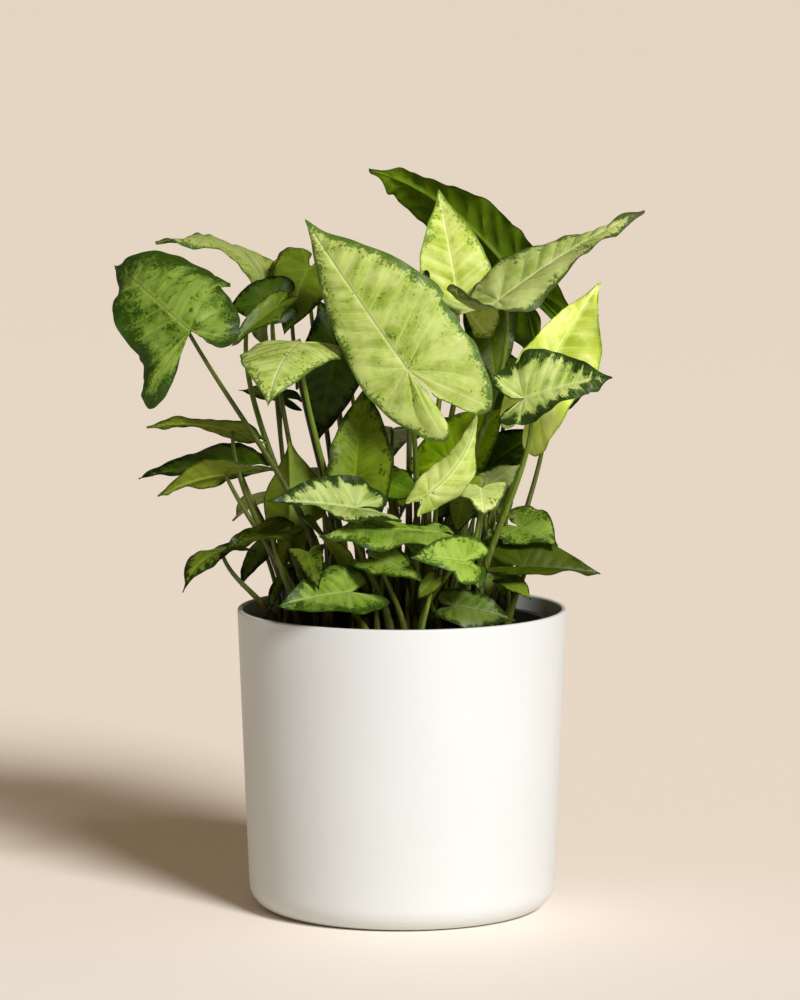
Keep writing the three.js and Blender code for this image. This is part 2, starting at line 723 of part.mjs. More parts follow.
// Thickens a sheet of triangles, whose outer edge is a loop of its points, by the blade's thickness.
function slab(points, triangles, edge) {
  const normals = points.map(() => new THREE.Vector3());
  const triangle = new THREE.Triangle();
  for (const [a, b, c] of triangles) {
    triangle.set(points[a], points[b], points[c]);
    const facing = triangle.getNormal(new THREE.Vector3()).multiplyScalar(triangle.getArea());
    [a, b, c].forEach((corner) => normals[corner].add(facing));
  }
  normals.forEach((normal) => normal.setLength(blade.thickness / 2));
  const top = points.map((point, i) => point.clone().add(normals[i]));
  const bottom = points.map((point, i) => point.clone().sub(normals[i]));
  const count = points.length;
  const faces = [];
  for (const [a, b, c] of triangles) {
    faces.push(a, b, c, count + a, count + c, count + b);
  }
  edge.forEach((a, i) => {
    const b = edge[(i + 1) % edge.length];
    faces.push(b, a, count + a, b, count + a, count + b);
  });
  return solidFromLists([...top, ...bottom], faces);
}

function solidFromLists(points, faces) {
  const geometry = new THREE.BufferGeometry().setFromPoints(points);
  geometry.setIndex(faces);
  return solidOf(geometry);
}

// The stalk's line: straight up out of its hole, then one curve to the underside of the neck.
function stalkCurve(leaf) {
  const frame = bladeFrame(leaf);
  const foot = new THREE.Vector3(leaf.foot[0], leaf.foot[1], stalk.start);
  const end = midribAt(leaf, frame, stalk.grip, leaf.left);
  const rise = end.place.clone().sub(foot);
  const handle = stalk.handle * rise.length();
  const arrival = rise.normalize().add(end.above).normalize();
  const lower = foot.clone().addScaledVector(up, handle).add(new THREE.Vector3(...leaf.lean, 0));
  const upper = end.place.clone().addScaledVector(arrival, -handle).add(new THREE.Vector3(...leaf.arch));
  return new THREE.CubicBezierCurve3(foot, lower, upper, end.place);
}

// A tapering tube through a list of points, closed at both ends.
function tube(points, radii, sides) {
  const tangents = points.map((point, i) =>
    points[Math.min(i + 1, points.length - 1)].clone().sub(points[Math.max(i - 1, 0)]).normalize(),
  );
  const normal = new THREE.Vector3(1, 0, 0);
  const ringPoints = [];
  points.forEach((point, i) => {
    normal.addScaledVector(tangents[i], -normal.dot(tangents[i])).normalize();
    const across = new THREE.Vector3().crossVectors(tangents[i], normal);
    for (let k = 0; k < sides; k++) {
      const angle = (2 * Math.PI * k) / sides;
      const spoke = normal.clone().multiplyScalar(Math.cos(angle)).addScaledVector(across, Math.sin(angle));
      ringPoints.push(point.clone().addScaledVector(spoke, radii[i]));
    }
  });
  const faces = [];
  for (let i = 0; i + 1 < points.length; i++) {
    for (let k = 0; k < sides; k++) {
      const [a, b] = [i * sides + k, i * sides + ((k + 1) % sides)];
      faces.push(a, b, b + sides, a, b + sides, a + sides);
    }
  }
  const last = (points.length - 1) * sides;
  for (let k = 1; k + 1 < sides; k++) {
    faces.push(0, k + 1, k, last, last + k, last + k + 1);
  }
  return solidFromLists(ringPoints, faces);
}

function makeStalk(leaf) {
  const curve = stalkCurve(leaf);
  const risen = curve.getPoints(stepsFor(steps.stalk, curve.getLength()));
  const buried = risen[0].clone().setZ(soil.edgeHeight - soil.holeDepth + soil.holeClearance);
  const taper = stalk.neckRadius - leaf.thick;
  const radii = risen.map((_, i) => leaf.thick + taper * Math.sqrt(i / (risen.length - 1)));
  return tube([buried, ...risen], [leaf.thick, ...radii], stalk.sides);
}

function makeLeaf(leaf) {
  const solid = makeBlade(leaf).add(makeStalk(leaf));
  const look = { color: tones[leaf.tone], roughness: 0.5, metalness: 0 };
  return namedMesh(leaf.name, solid, look);
}

const plant = new THREE.Group();
plant.add(makePot(), makeNurseryPot(), makeSoil());
for (const leaf of wholeLeaves) {
  plant.add(makeLeaf(leaf));
}

export default plant;
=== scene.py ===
# An arrowhead plant in a black nursery pot, standing in a white cover pot.
# Metres, origin in the middle of the cover pot's underside, +Z up.
import json
import math
import bmesh
import bpy
import numpy as np
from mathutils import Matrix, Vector, noise
from mathutils.bvhtree import BVHTree

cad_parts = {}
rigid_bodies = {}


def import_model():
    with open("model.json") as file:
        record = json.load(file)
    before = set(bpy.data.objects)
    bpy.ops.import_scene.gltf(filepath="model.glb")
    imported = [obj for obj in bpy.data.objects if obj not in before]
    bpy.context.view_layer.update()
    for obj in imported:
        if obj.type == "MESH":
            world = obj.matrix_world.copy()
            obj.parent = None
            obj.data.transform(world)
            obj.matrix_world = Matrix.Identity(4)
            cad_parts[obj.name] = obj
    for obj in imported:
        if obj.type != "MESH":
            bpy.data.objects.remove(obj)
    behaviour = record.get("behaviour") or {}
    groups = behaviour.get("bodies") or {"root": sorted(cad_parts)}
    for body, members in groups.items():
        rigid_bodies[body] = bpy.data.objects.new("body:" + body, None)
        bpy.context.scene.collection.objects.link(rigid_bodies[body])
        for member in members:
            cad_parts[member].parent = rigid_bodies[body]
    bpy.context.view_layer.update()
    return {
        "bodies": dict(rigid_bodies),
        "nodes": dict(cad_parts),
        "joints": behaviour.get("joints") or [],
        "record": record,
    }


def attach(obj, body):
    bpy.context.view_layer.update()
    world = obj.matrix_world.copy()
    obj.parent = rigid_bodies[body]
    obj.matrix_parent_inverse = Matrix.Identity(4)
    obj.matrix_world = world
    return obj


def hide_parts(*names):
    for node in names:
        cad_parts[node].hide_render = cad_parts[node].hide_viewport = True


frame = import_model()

mm = 0.001
colourA, colourB, colourOut = 6, 7, 2  # the Mix node's sockets for colours
blend, smooth = {"data_type": "RGBA"}, {"interpolation_type": "SMOOTHSTEP"}  # settings that many nodes share
multiply, multiplyAdd = {"operation": "MULTIPLY"}, {"operation": "MULTIPLY_ADD"}


def linear(hexColour):
    parts = [int(hexColour[i:i + 2], 16) / 255 for i in (1, 3, 5)]
    return (*[c / 12.92 if c <= 0.04045 else ((c + 0.055) / 1.055) ** 2.4 for c in parts], 1.0)


# Sets and links a node's inputs. A link that names only a node comes from its first output.
def fillNode(tree, node, values, links):
    for socket, value in values.items():
        node.inputs[socket].default_value = value
    for socket, source in links.items():
        start = source.outputs[0] if isinstance(source, bpy.types.Node) else source
        tree.links.new(start, node.inputs[socket])
    return node


def addNode(tree, kind, settings=None, values=None, links=None):
    node = tree.nodes.new(kind)
    for name, value in (settings or {}).items():
        setattr(node, name, value)
    return fillNode(tree, node, values or {}, links or {})


def newMaterial(name):
    material = bpy.data.materials.new(name)
    material.use_nodes = True
    return material, material.node_tree, material.node_tree.nodes["Principled BSDF"]


def newObject(name, mesh):
    thing = bpy.data.objects.new(name, mesh)
    bpy.context.scene.collection.objects.link(thing)
    return thing


def newModifierTree(name, sockets):
    tree = bpy.data.node_groups.new(name, "GeometryNodeTree")
    tree.interface.new_socket("Geometry", in_out="INPUT", socket_type="NodeSocketGeometry")
    for label, kind in sockets.items():
        tree.interface.new_socket(label, in_out="INPUT", socket_type="NodeSocket" + kind)
    tree.interface.new_socket("Geometry", in_out="OUTPUT", socket_type="NodeSocketGeometry")
    return tree, tree.nodes.new("NodeGroupInput").outputs, tree.nodes.new("NodeGroupOutput").inputs


# The mesh that an object has with all its modifiers, which then come off it.
def settledMesh(thing):
    bpy.context.view_layer.update()
    graph = bpy.context.evaluated_depsgraph_get()
    mesh = bpy.data.meshes.new_from_object(thing.evaluated_get(graph), depsgraph=graph)
    thing.modifiers.clear()
    return mesh


# Runs a Geometry Nodes tree over an object and gives back the plain mesh.
def runTree(thing, tree, values):
    modifier = thing.modifiers.new(tree.name, "NODES")
    modifier.node_group = tree
    for item in tree.interface.items_tree:
        if item.in_out == "INPUT" and item.name in values:
            modifier[item.identifier] = values[item.name]
    return settledMesh(thing)


# The camera stands well back and looks a little down, as for a catalogue picture.
cameraSettings = {
    "eye": (-0.0011, -2.5833, 0.5183), "target": (-0.0011, 0, 0.224), "lens": 171.6, "sensor": 36, "far": 200,
}

camera = newObject("camera", bpy.data.cameras.new("camera"))
camera.location = cameraSettings["eye"]
gaze = Vector(cameraSettings["target"]) - Vector(cameraSettings["eye"])
camera.rotation_euler = gaze.to_track_quat("-Z", "Y").to_euler()
camera.data.lens = cameraSettings["lens"]
camera.data.sensor_width = cameraSettings["sensor"]
camera.data.clip_end = cameraSettings["far"]
bpy.context.scene.camera = camera
bpy.context.scene.view_settings.view_transform = "Standard"
print("camera ready")

# One soft key from the front right, low enough for a long shadow, with a warm room round it.
lightSettings = {
    "keyAzimuth": 32, "keyElevation": 33, "keyStrength": 3.95, "keySoftness": 18, "keyColour": "#fffeff",
    "roomStrength": 0.205, "roomColour": "#ffe0b9",
}

azimuth = math.radians(lightSettings["keyAzimuth"])
elevation = math.radians(lightSettings["keyElevation"])
level = math.cos(elevation)
fromKey = Vector((math.sin(azimuth) * level, -math.cos(azimuth) * level, math.sin(elevation)))
key = newObject("keyLight", bpy.data.lights.new("keyLight", "SUN"))
key.rotation_euler = (-fromKey).to_track_quat("-Z", "Y").to_euler()
key.data.energy = lightSettings["keyStrength"]
key.data.angle = math.radians(lightSettings["keySoftness"])
key.data.color = linear(lightSettings["keyColour"])[:3]
room = bpy.data.worlds.new("room")
room.use_nodes = True
air = room.node_tree.nodes["Background"].inputs
air["Color"].default_value = linear(lightSettings["roomColour"])
air["Strength"].default_value = lightSettings["roomStrength"]
bpy.context.scene.world = room

# Painted studio floor, matt: a little whiter in front, and a faint cloudiness keeps it from looking like
# paper. The clouds are 3 m wide, coarser than real paint, because the floor is seen from far off.
floorSettings = {
    "halfSize": 90, "front": "#faf6f2", "colour": "#fbf1e4", "cloud": "#f9eedf", "cloudSize": 3,
    "frontFrom": -0.5, "frontTo": 0.2, "roughness": 0.7,
}

half = floorSettings["halfSize"]
floorMesh = bpy.data.meshes.new("floor")
corners = [(x * half, y * half, 0) for x, y in ((-1, -1), (1, -1), (1, 1), (-1, 1))]
floorMesh.from_pydata(corners, [], [(0, 1, 2, 3)])
floor = newObject("floor", floorMesh)
material, tree, shader = newMaterial("mattPaintedFloor")
place = addNode(tree, "ShaderNodeTexCoord").outputs["Object"]
clouds = addNode(tree, "ShaderNodeTexNoise", values={"Scale": 1 / floorSettings["cloudSize"], "Detail": 2},
                 links={"Vector": place})
colour = addNode(tree, "ShaderNodeMix", blend, {
    colourA: linear(floorSettings["colour"]), colourB: linear(floorSettings["cloud"])}, {0: clouds})
parts = addNode(tree, "ShaderNodeSeparateXYZ", links={0: place})
ahead = addNode(tree, "ShaderNodeMapRange", smooth,
                {"From Min": floorSettings["frontFrom"], "From Max": floorSettings["frontTo"]},
                {"Value": parts.outputs["Y"]})
colour = addNode(tree, "ShaderNodeMix", blend, {colourA: linear(floorSettings["front"])},
                 {0: ahead, colourB: colour.outputs[colourOut]})
fillNode(tree, shader, {"Roughness": floorSettings["roughness"]}, {"Base Color": colour.outputs[colourOut]})
floorMesh.materials.append(material)
print("light and floor ready")


# Points evenly round an upright axis.
def circle(radius, height, sides, centre=(0, 0)):
    angles = [2 * math.pi * k / sides for k in range(sides)]
    return [(centre[0] + radius * math.cos(a), centre[1] + radius * math.sin(a), height) for a in angles]


# Closed rings of a [radius, height] profile round the Z axis, with a point at each end that lies on the
# axis.
def lathe(name, profile, sides):
    points, faces, rings = [], [], []
    for radius, height in profile:
        onAxis = radius < 1e-9
        rings.append([len(points)] * sides if onAxis else list(range(len(points), len(points) + sides)))
        points += [(0, 0, height)] if onAxis else circle(radius, height, sides)
    for lower, upper in zip(rings, rings[1:]):
        for k in range(sides):
            n = (k + 1) % sides
            corners = list(dict.fromkeys([lower[k], lower[n], upper[n], upper[k]]))
            if len(corners) > 2:
                faces.append(corners)
    mesh = bpy.data.meshes.new(name)
    mesh.from_pydata(points, [], faces)
    mesh.shade_smooth()
    mesh.set_sharp_from_angle(angle=math.radians(40))
    return mesh


# A skin whose second colour lies on the first in grains of a size in metres, which roughen and raise it
# too. detail is how fine and rough the grains are, spread where the second colour starts, ends and how
# strong it gets, relief the bump.
def grainyMaterial(name, first, second, grain, roughness, detail=(6, 0.7), spread=(0.4, 0.75, 1),
                   relief=(0.6, 0.0006)):
    material, tree, shader = newMaterial(name)
    place = addNode(tree, "ShaderNodeTexCoord").outputs["Object"]
    grains = addNode(tree, "ShaderNodeTexNoise", None,
                     {"Scale": 1 / grain, "Detail": detail[0], "Roughness": detail[1]}, {"Vector": place})
    amount = addNode(tree, "ShaderNodeMapRange", None,
                     {"From Min": spread[0], "From Max": spread[1], "To Max": spread[2]}, {"Value": grains})
    tint = addNode(tree, "ShaderNodeMix", blend, {colourA: linear(first), colourB: linear(second)},
                   {0: amount})
    gloss = addNode(tree, "ShaderNodeMapRange", None, {"To Min": roughness[0], "To Max": roughness[1]},
                    {"Value": grains})
    bump = addNode(tree, "ShaderNodeBump", None, {"Strength": relief[0], "Distance": relief[1]},
                   {"Height": grains})
    fillNode(tree, shader, {}, {"Base Color": tint.outputs[colourOut], "Roughness": gloss, "Normal": bump})
    return material


def arc(centre, radius, start, stop, steps):
    angles = [math.radians(start + (stop - start) * k / steps) for k in range(steps + 1)]
    return [(centre[0] + radius * math.cos(a), centre[1] + radius * math.sin(a)) for a in angles]


# Cover pot, the sizes of the solid model. Its skin has pits of 0.9 mm.
potSettings = {
    "height": 0.165, "rimRadius": 0.09, "footRadius": 0.084, "cornerRadius": 0.014, "wall": 0.003,
    "floor": 0.004, "rimRound": 0.0012, "hollow": 0.0008, "hollowRadius": 0.062, "hollowSlope": 0.002,
    "sides": 192, "white": "#d0d4d2", "shade": "#cbcdcb", "driftSize": 0.07, "pitSize": 0.0009,
}


def makePot(s):
    corner = (s["footRadius"] - s["cornerRadius"], s["cornerRadius"])
    innerRound = s["cornerRadius"] - s["wall"]
    rim = (s["rimRadius"] - s["rimRound"], s["height"] - s["rimRound"])
    lip = (s["rimRadius"] - s["wall"] + s["rimRound"], s["height"] - s["rimRound"])
    profile = [
        (0, s["hollow"]), (s["hollowRadius"], s["hollow"]), (s["hollowRadius"] + s["hollowSlope"], 0),
        *arc(corner, s["cornerRadius"], -90, 0, 16),
        *arc(rim, s["rimRound"], 0, 90, 6),
        *arc(lip, s["rimRound"], 90, 180, 6),
        *arc((corner[0], s["floor"] + innerRound), innerRound, 0, -90, 12),
        (0, s["floor"]),
    ]
    pot = newObject("cover_pot", lathe("cover_pot", profile, s["sides"]))

    # Injection-moulded polypropylene: satin, with a very fine pitted skin that spreads the highlight.
    material, tree, shader = newMaterial("satinMouldedPolypropylene")
    place = addNode(tree, "ShaderNodeTexCoord").outputs["Object"]
    drift, pits = [
        addNode(tree, "ShaderNodeTexNoise", None, {"Scale": 1 / size, "Detail": detail}, {"Vector": place})
        for size, detail in ((s["driftSize"], 3), (s["pitSize"], 2))]
    tint = addNode(tree, "ShaderNodeMix", blend, {colourA: linear(s["white"]), colourB: linear(s["shade"])},
                   {0: drift})
    gloss = addNode(tree, "ShaderNodeMapRange", None,
                    {"From Min": 0.3, "From Max": 0.7, "To Min": 0.42, "To Max": 0.5}, {"Value": drift})
    bump = addNode(tree, "ShaderNodeBump", None, {"Strength": 0.12, "Distance": 0.0001}, {"Height": pits})
    fillNode(tree, shader, {"IOR": 1.49},
             {"Base Color": tint.outputs[colourOut], "Roughness": gloss, "Normal": bump})
    pot.data.materials.append(material)
    return pot


pot = makePot(potSettings)
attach(pot, "root")
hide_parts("pot")

# Nursery pot, thin and black, with drain holes through its floor. The dust lies in patches of 8 mm.
nurserySettings = {
    "bottom": 0.0043, "top": 0.157, "baseRadius": 0.062, "shoulderRadius": 0.0805, "rimRadius": 0.084,
    "rimHeight": 0.005, "wall": 0.0015, "floor": 0.002, "drainRadius": 0.006, "drainRing": 0.042,
    "drains": 6, "drillTop": 0.02, "baseRound": 0.002, "round": 0.0006, "sides": 144,
    "black": "#191816", "dust": "#3a352c", "dustSize": 0.008,
}


# Upright drills for round holes, as one mesh.
def drillMesh(places, radius, low, high, sides=24):
    points, faces = [], []
    for x, y, _ in places:
        base = len(points)
        points += circle(radius, low, sides, (x, y)) + circle(radius, high, sides, (x, y))
        faces += [[base + k for k in reversed(range(sides))], [base + sides + k for k in range(sides)]]
        for k in range(sides):
            n = (k + 1) % sides
            faces.append([base + k, base + n, base + sides + n, base + sides + k])
    mesh = bpy.data.meshes.new("drains")
    mesh.from_pydata(points, [], faces)
    return mesh


def makeNurseryPot(s):
    shoulder = s["top"] - s["rimHeight"]
    r, foot = s["round"], s["baseRound"]
    profile = [
        (0, s["bottom"]),
        *arc((s["baseRadius"] - foot, s["bottom"] + foot), foot, -90, -10, 4),
        (s["shoulderRadius"], shoulder),
        *arc((s["rimRadius"] - r, shoulder + r), r, -90, 0, 3),
        *arc((s["rimRadius"] - r, s["top"] - r), r, 0, 90, 3),
        *arc((s["shoulderRadius"] - s["wall"] + r, s["top"] - r), r, 90, 180, 3),
        (s["baseRadius"] - s["wall"], s["bottom"] + s["floor"]),
        (0, s["bottom"] + s["floor"]),
    ]
    nursery = newObject("nursery_cup", lathe("nursery_cup", profile, s["sides"]))
    drains = circle(s["drainRing"], 0, s["drains"])
    cutter = newObject("drains", drillMesh(drains, s["drainRadius"], 0, s["drillTop"]))
    cut = nursery.modifiers.new("drains", "BOOLEAN")
    cut.object = cutter
    cut.solver = "EXACT"
    nursery.data = settledMesh(nursery)
    bpy.data.objects.remove(cutter)

    # Black recycled polypropylene, vacuum thin: faintly dusty from the soil, with a soft sheen.
    nursery.data.materials.clear()
    nursery.data.materials.append(grainyMaterial(
        "blackRecycledPolypropylene", s["black"], s["dust"], s["dustSize"], (0.4, 0.7), (5, 0.65),
        (0.45, 0.75, 0.6), (0.2, 0.0002)))
    return nursery


nursery = makeNurseryPot(nurserySettings)
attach(nursery, "root")
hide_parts("nursery_pot")
print("pots ready")

# Potting soil: a lumpy block that fills the nursery pot, with loose crumbs, perlite and bark on it.
soilSettings = {
    "bottom": 0.0067, "bottomRadius": 0.0601, "edge": 0.1485, "edgeRadius": 0.0775, "shoulder": 0.1502,
    "crown": 0.151, "shoulderShare": 0.6, "edgeFade": 12, "sink": 0.001, "lump": 0.0022, "fineLump": 0.55,
    "lumpSizes": (0.009, 0.0035), "rings": 56, "sides": 150, "dark": "#15110c", "brown": "#3a2c1e",
    "grain": 0.0022,
    "soil_crumbs": {"Count": 5200.0, "Small": 0.0006, "Large": 0.0019, "Flat": 0.8, "Seed": 3},
    "perlite_grains": {"Count": 230.0, "Small": 0.0006, "Large": 0.0017, "Flat": 0.9, "Seed": 11},
    "bark_chips": {"Count": 150.0, "Small": 0.0011, "Large": 0.0026, "Flat": 0.35, "Seed": 23},
}


def soilHeight(s, radius, x, y):
    share, bend = radius / s["edgeRadius"], s["shoulderShare"]
    if share > bend:
        level = s["shoulder"] + (s["edge"] - s["shoulder"]) * (share - bend) / (1 - bend)
    else:
        level = s["crown"] + (s["shoulder"] - s["crown"]) * share / bend
    coarse, fine = s["lumpSizes"]
    fineLumps = noise.noise((x / fine, y / fine, 4.1))
    lumps = noise.noise((x / coarse, y / coarse, 0.3)) + s["fineLump"] * fineLumps
    return level - s["sink"] + s["lump"] * lumps * min(1, (1 - share) * s["edgeFade"])


def ringFaces(inner, outer):
    corners = zip(inner, outer, outer[1:] + outer[:1], inner[1:] + inner[:1])
    return [list(dict.fromkeys(c)) for c in corners]


def makeSoil(s):
    points = [(0, 0, soilHeight(s, 0, 0, 0))]
    rings = [[0] * s["sides"]]
    for ring in range(1, s["rings"] + 1):
        radius = s["edgeRadius"] * ring / s["rings"]
        rings.append(list(range(len(points), len(points) + s["sides"])))
        points += [(x, y, soilHeight(s, radius, x, y)) for x, y, _ in circle(radius, 0, s["sides"])]
    top = [f for inner, outer in zip(rings, rings[1:]) for f in ringFaces(inner, outer)]
    topMesh = bpy.data.meshes.new("soilTop")
    topMesh.from_pydata(points, [], top)
    lower = list(range(len(points), len(points) + s["sides"]))
    points += circle(s["bottomRadius"], s["bottom"], s["sides"])
    mesh = bpy.data.meshes.new("soil_block")
    mesh.from_pydata(points, [], top + ringFaces(rings[-1], lower) + [lower[::-1]])
    mesh.shade_smooth()
    mesh.set_sharp_from_angle(angle=math.radians(50))
    return mesh, topMesh


# Scatters turned and scaled copies of a small lump over a surface.
def scatterTree():
    tree, given, result = newModifierTree("scatterGrains", {
        "Lump": "Object", "Count": "Float", "Small": "Float", "Large": "Float", "Flat": "Float",
        "Seed": "Int", "Material": "Material"})
    density = addNode(tree, "ShaderNodeMath", {"operation": "DIVIDE"},
                      {1: math.pi * soilSettings["edgeRadius"] ** 2}, {0: given["Count"]})
    spread = addNode(tree, "GeometryNodeDistributePointsOnFaces",
                     links={"Mesh": given["Geometry"], "Density": density, "Seed": given["Seed"]})
    lump = addNode(tree, "GeometryNodeObjectInfo", links={"Object": given["Lump"]})
    turn = addNode(tree, "FunctionNodeRandomValue", {"data_type": "FLOAT_VECTOR"},
                   {1: (math.tau, math.tau, math.tau)}, {"Seed": given["Seed"]})
    turned = addNode(tree, "FunctionNodeEulerToRotation", links={0: turn})
    size = addNode(tree, "FunctionNodeRandomValue", {"data_type": "FLOAT"},
                   links={2: given["Small"], 3: given["Large"], "Seed": given["Seed"]}).outputs[1]
    thin = addNode(tree, "ShaderNodeMath", multiply, links={0: size, 1: given["Flat"]})
    scale = addNode(tree, "ShaderNodeCombineXYZ", links={"X": size, "Y": size, "Z": thin})
    copies = addNode(tree, "GeometryNodeInstanceOnPoints", links={
        "Points": spread, "Instance": lump.outputs["Geometry"], "Rotation": turned, "Scale": scale})
    real = addNode(tree, "GeometryNodeRealizeInstances", links={"Geometry": copies})
    painted = addNode(tree, "GeometryNodeSetMaterial",
                      links={"Geometry": real, "Material": given["Material"]})
    tree.links.new(painted.outputs[0], result["Geometry"])
    return tree


# An angular lump of 20 faces, 1 across, pushed about so that no two sides match.
def lumpMesh():
    shape = bmesh.new()
    bmesh.ops.create_icosphere(shape, subdivisions=1, radius=1)
    for vertex in shape.verts:
        vertex.co *= 1 + 0.45 * noise.noise(vertex.co * 1.3 + Vector((0.2, 0.7, 0.4)))
    mesh = bpy.data.meshes.new("lump")
    shape.to_mesh(mesh)
    shape.free()
    return mesh


soilMesh, soilTopMesh = makeSoil(soilSettings)
soil = newObject("soil_block", soilMesh)
# Peat and compost: nearly black when moist, matt, with a few brown fibres catching the light.
soil.data.materials.append(grainyMaterial(
    "moistPeatCompost", soilSettings["dark"], soilSettings["brown"], soilSettings["grain"], (0.9, 0.9)))
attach(soil, "root")
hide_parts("soil")

soilTop = newObject("soilTop", soilTopMesh)
lump = newObject("lump", lumpMesh())
scatter = scatterTree()
# Puffed volcanic glass is chalky white, bark is split and red brown.
grainMaterials = {
    "soil_crumbs": grainyMaterial("crumbledPeat", "#14100b", "#4a3826", 0.0012, (0.9, 0.9)),
    "perlite_grains": grainyMaterial("puffedPerlite", "#d9d4c6", "#a89f8b", 0.0009, (0.85, 0.85)),
    "bark_chips": grainyMaterial("splitPineBark", "#33231a", "#6e4c33", 0.0015, (0.75, 0.75)),
}
for kind, material in grainMaterials.items():
    mesh = runTree(soilTop, scatter, {"Lump": lump, "Material": material, **soilSettings[kind]})
    mesh.name = kind
    grains = newObject(kind, mesh)
    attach(grains, "root")
bpy.data.objects.remove(soilTop)
bpy.data.objects.remove(lump)
print("soil ready")

# What a leaf and each half of its blade have where its row says nothing else. droop and sickle bend the
# midrib, fold, cup, wide and full shape a half, lobe, spread and back its rear lobe. lean and arch shape
# the stalk's curve, and ruffle is how much the margin waves and curls.
plainLeaf = dict(
    droop=20, sickle=0, width=1, twist=0, wave=1.5, lean=(0, 0), arch=(0, 0, 0), thick=3, ruffle=1.2)
plainHalf = dict(fold=10, wide=1, full=0, cup=15, lobe=1, spread=1, back=15)

# How a leaf is painted: its colours' name, how light it is, how far the green margin reaches in on the left
# and right half of a large leaf, in mm, how flecked it is and how green between the side veins. How light a
# leaf is comes partly from its own tone and is partly painted light: painted shade darkens leaves that lie
# in the shade of others, and a painted glow brightens leaves that light shines through. Leaves whose row has
# no look take their tone's, after the tone's name.
toneLook = {
    "pale": (0.9, 2.5, 3, 0.5, 0.8), "mid": (0.68, 6, 6, 0.6, 0.9), "olive": (0.78, 4, 4, 0.5, 0.8),
    "under": (0.88, 3, 3, 0.4, 0.5), "dark": (0.9, 5, 5, 0.5, 0.9),
}


# One leaf, in millimetres. tone picks its stalk's colour and its look where the row gives none, neck is
# where the stalk meets the blade, face the way the blade's upper side looks, and foot is where the stalk
# leaves the soil.
def leafRow(name, tone, neck, tip, face, foot, both=None, left=None, right=None, look=None, **rest):
    return {
        **plainLeaf, "name": name, "tone": tone, "neck": neck, "tip": tip, "face": face, "foot": foot, **rest,
        "left": {**plainHalf, **(both or left or {})}, "right": {**plainHalf, **(both or right or {})},
        "look": look or (tone, *toneLook[tone])}


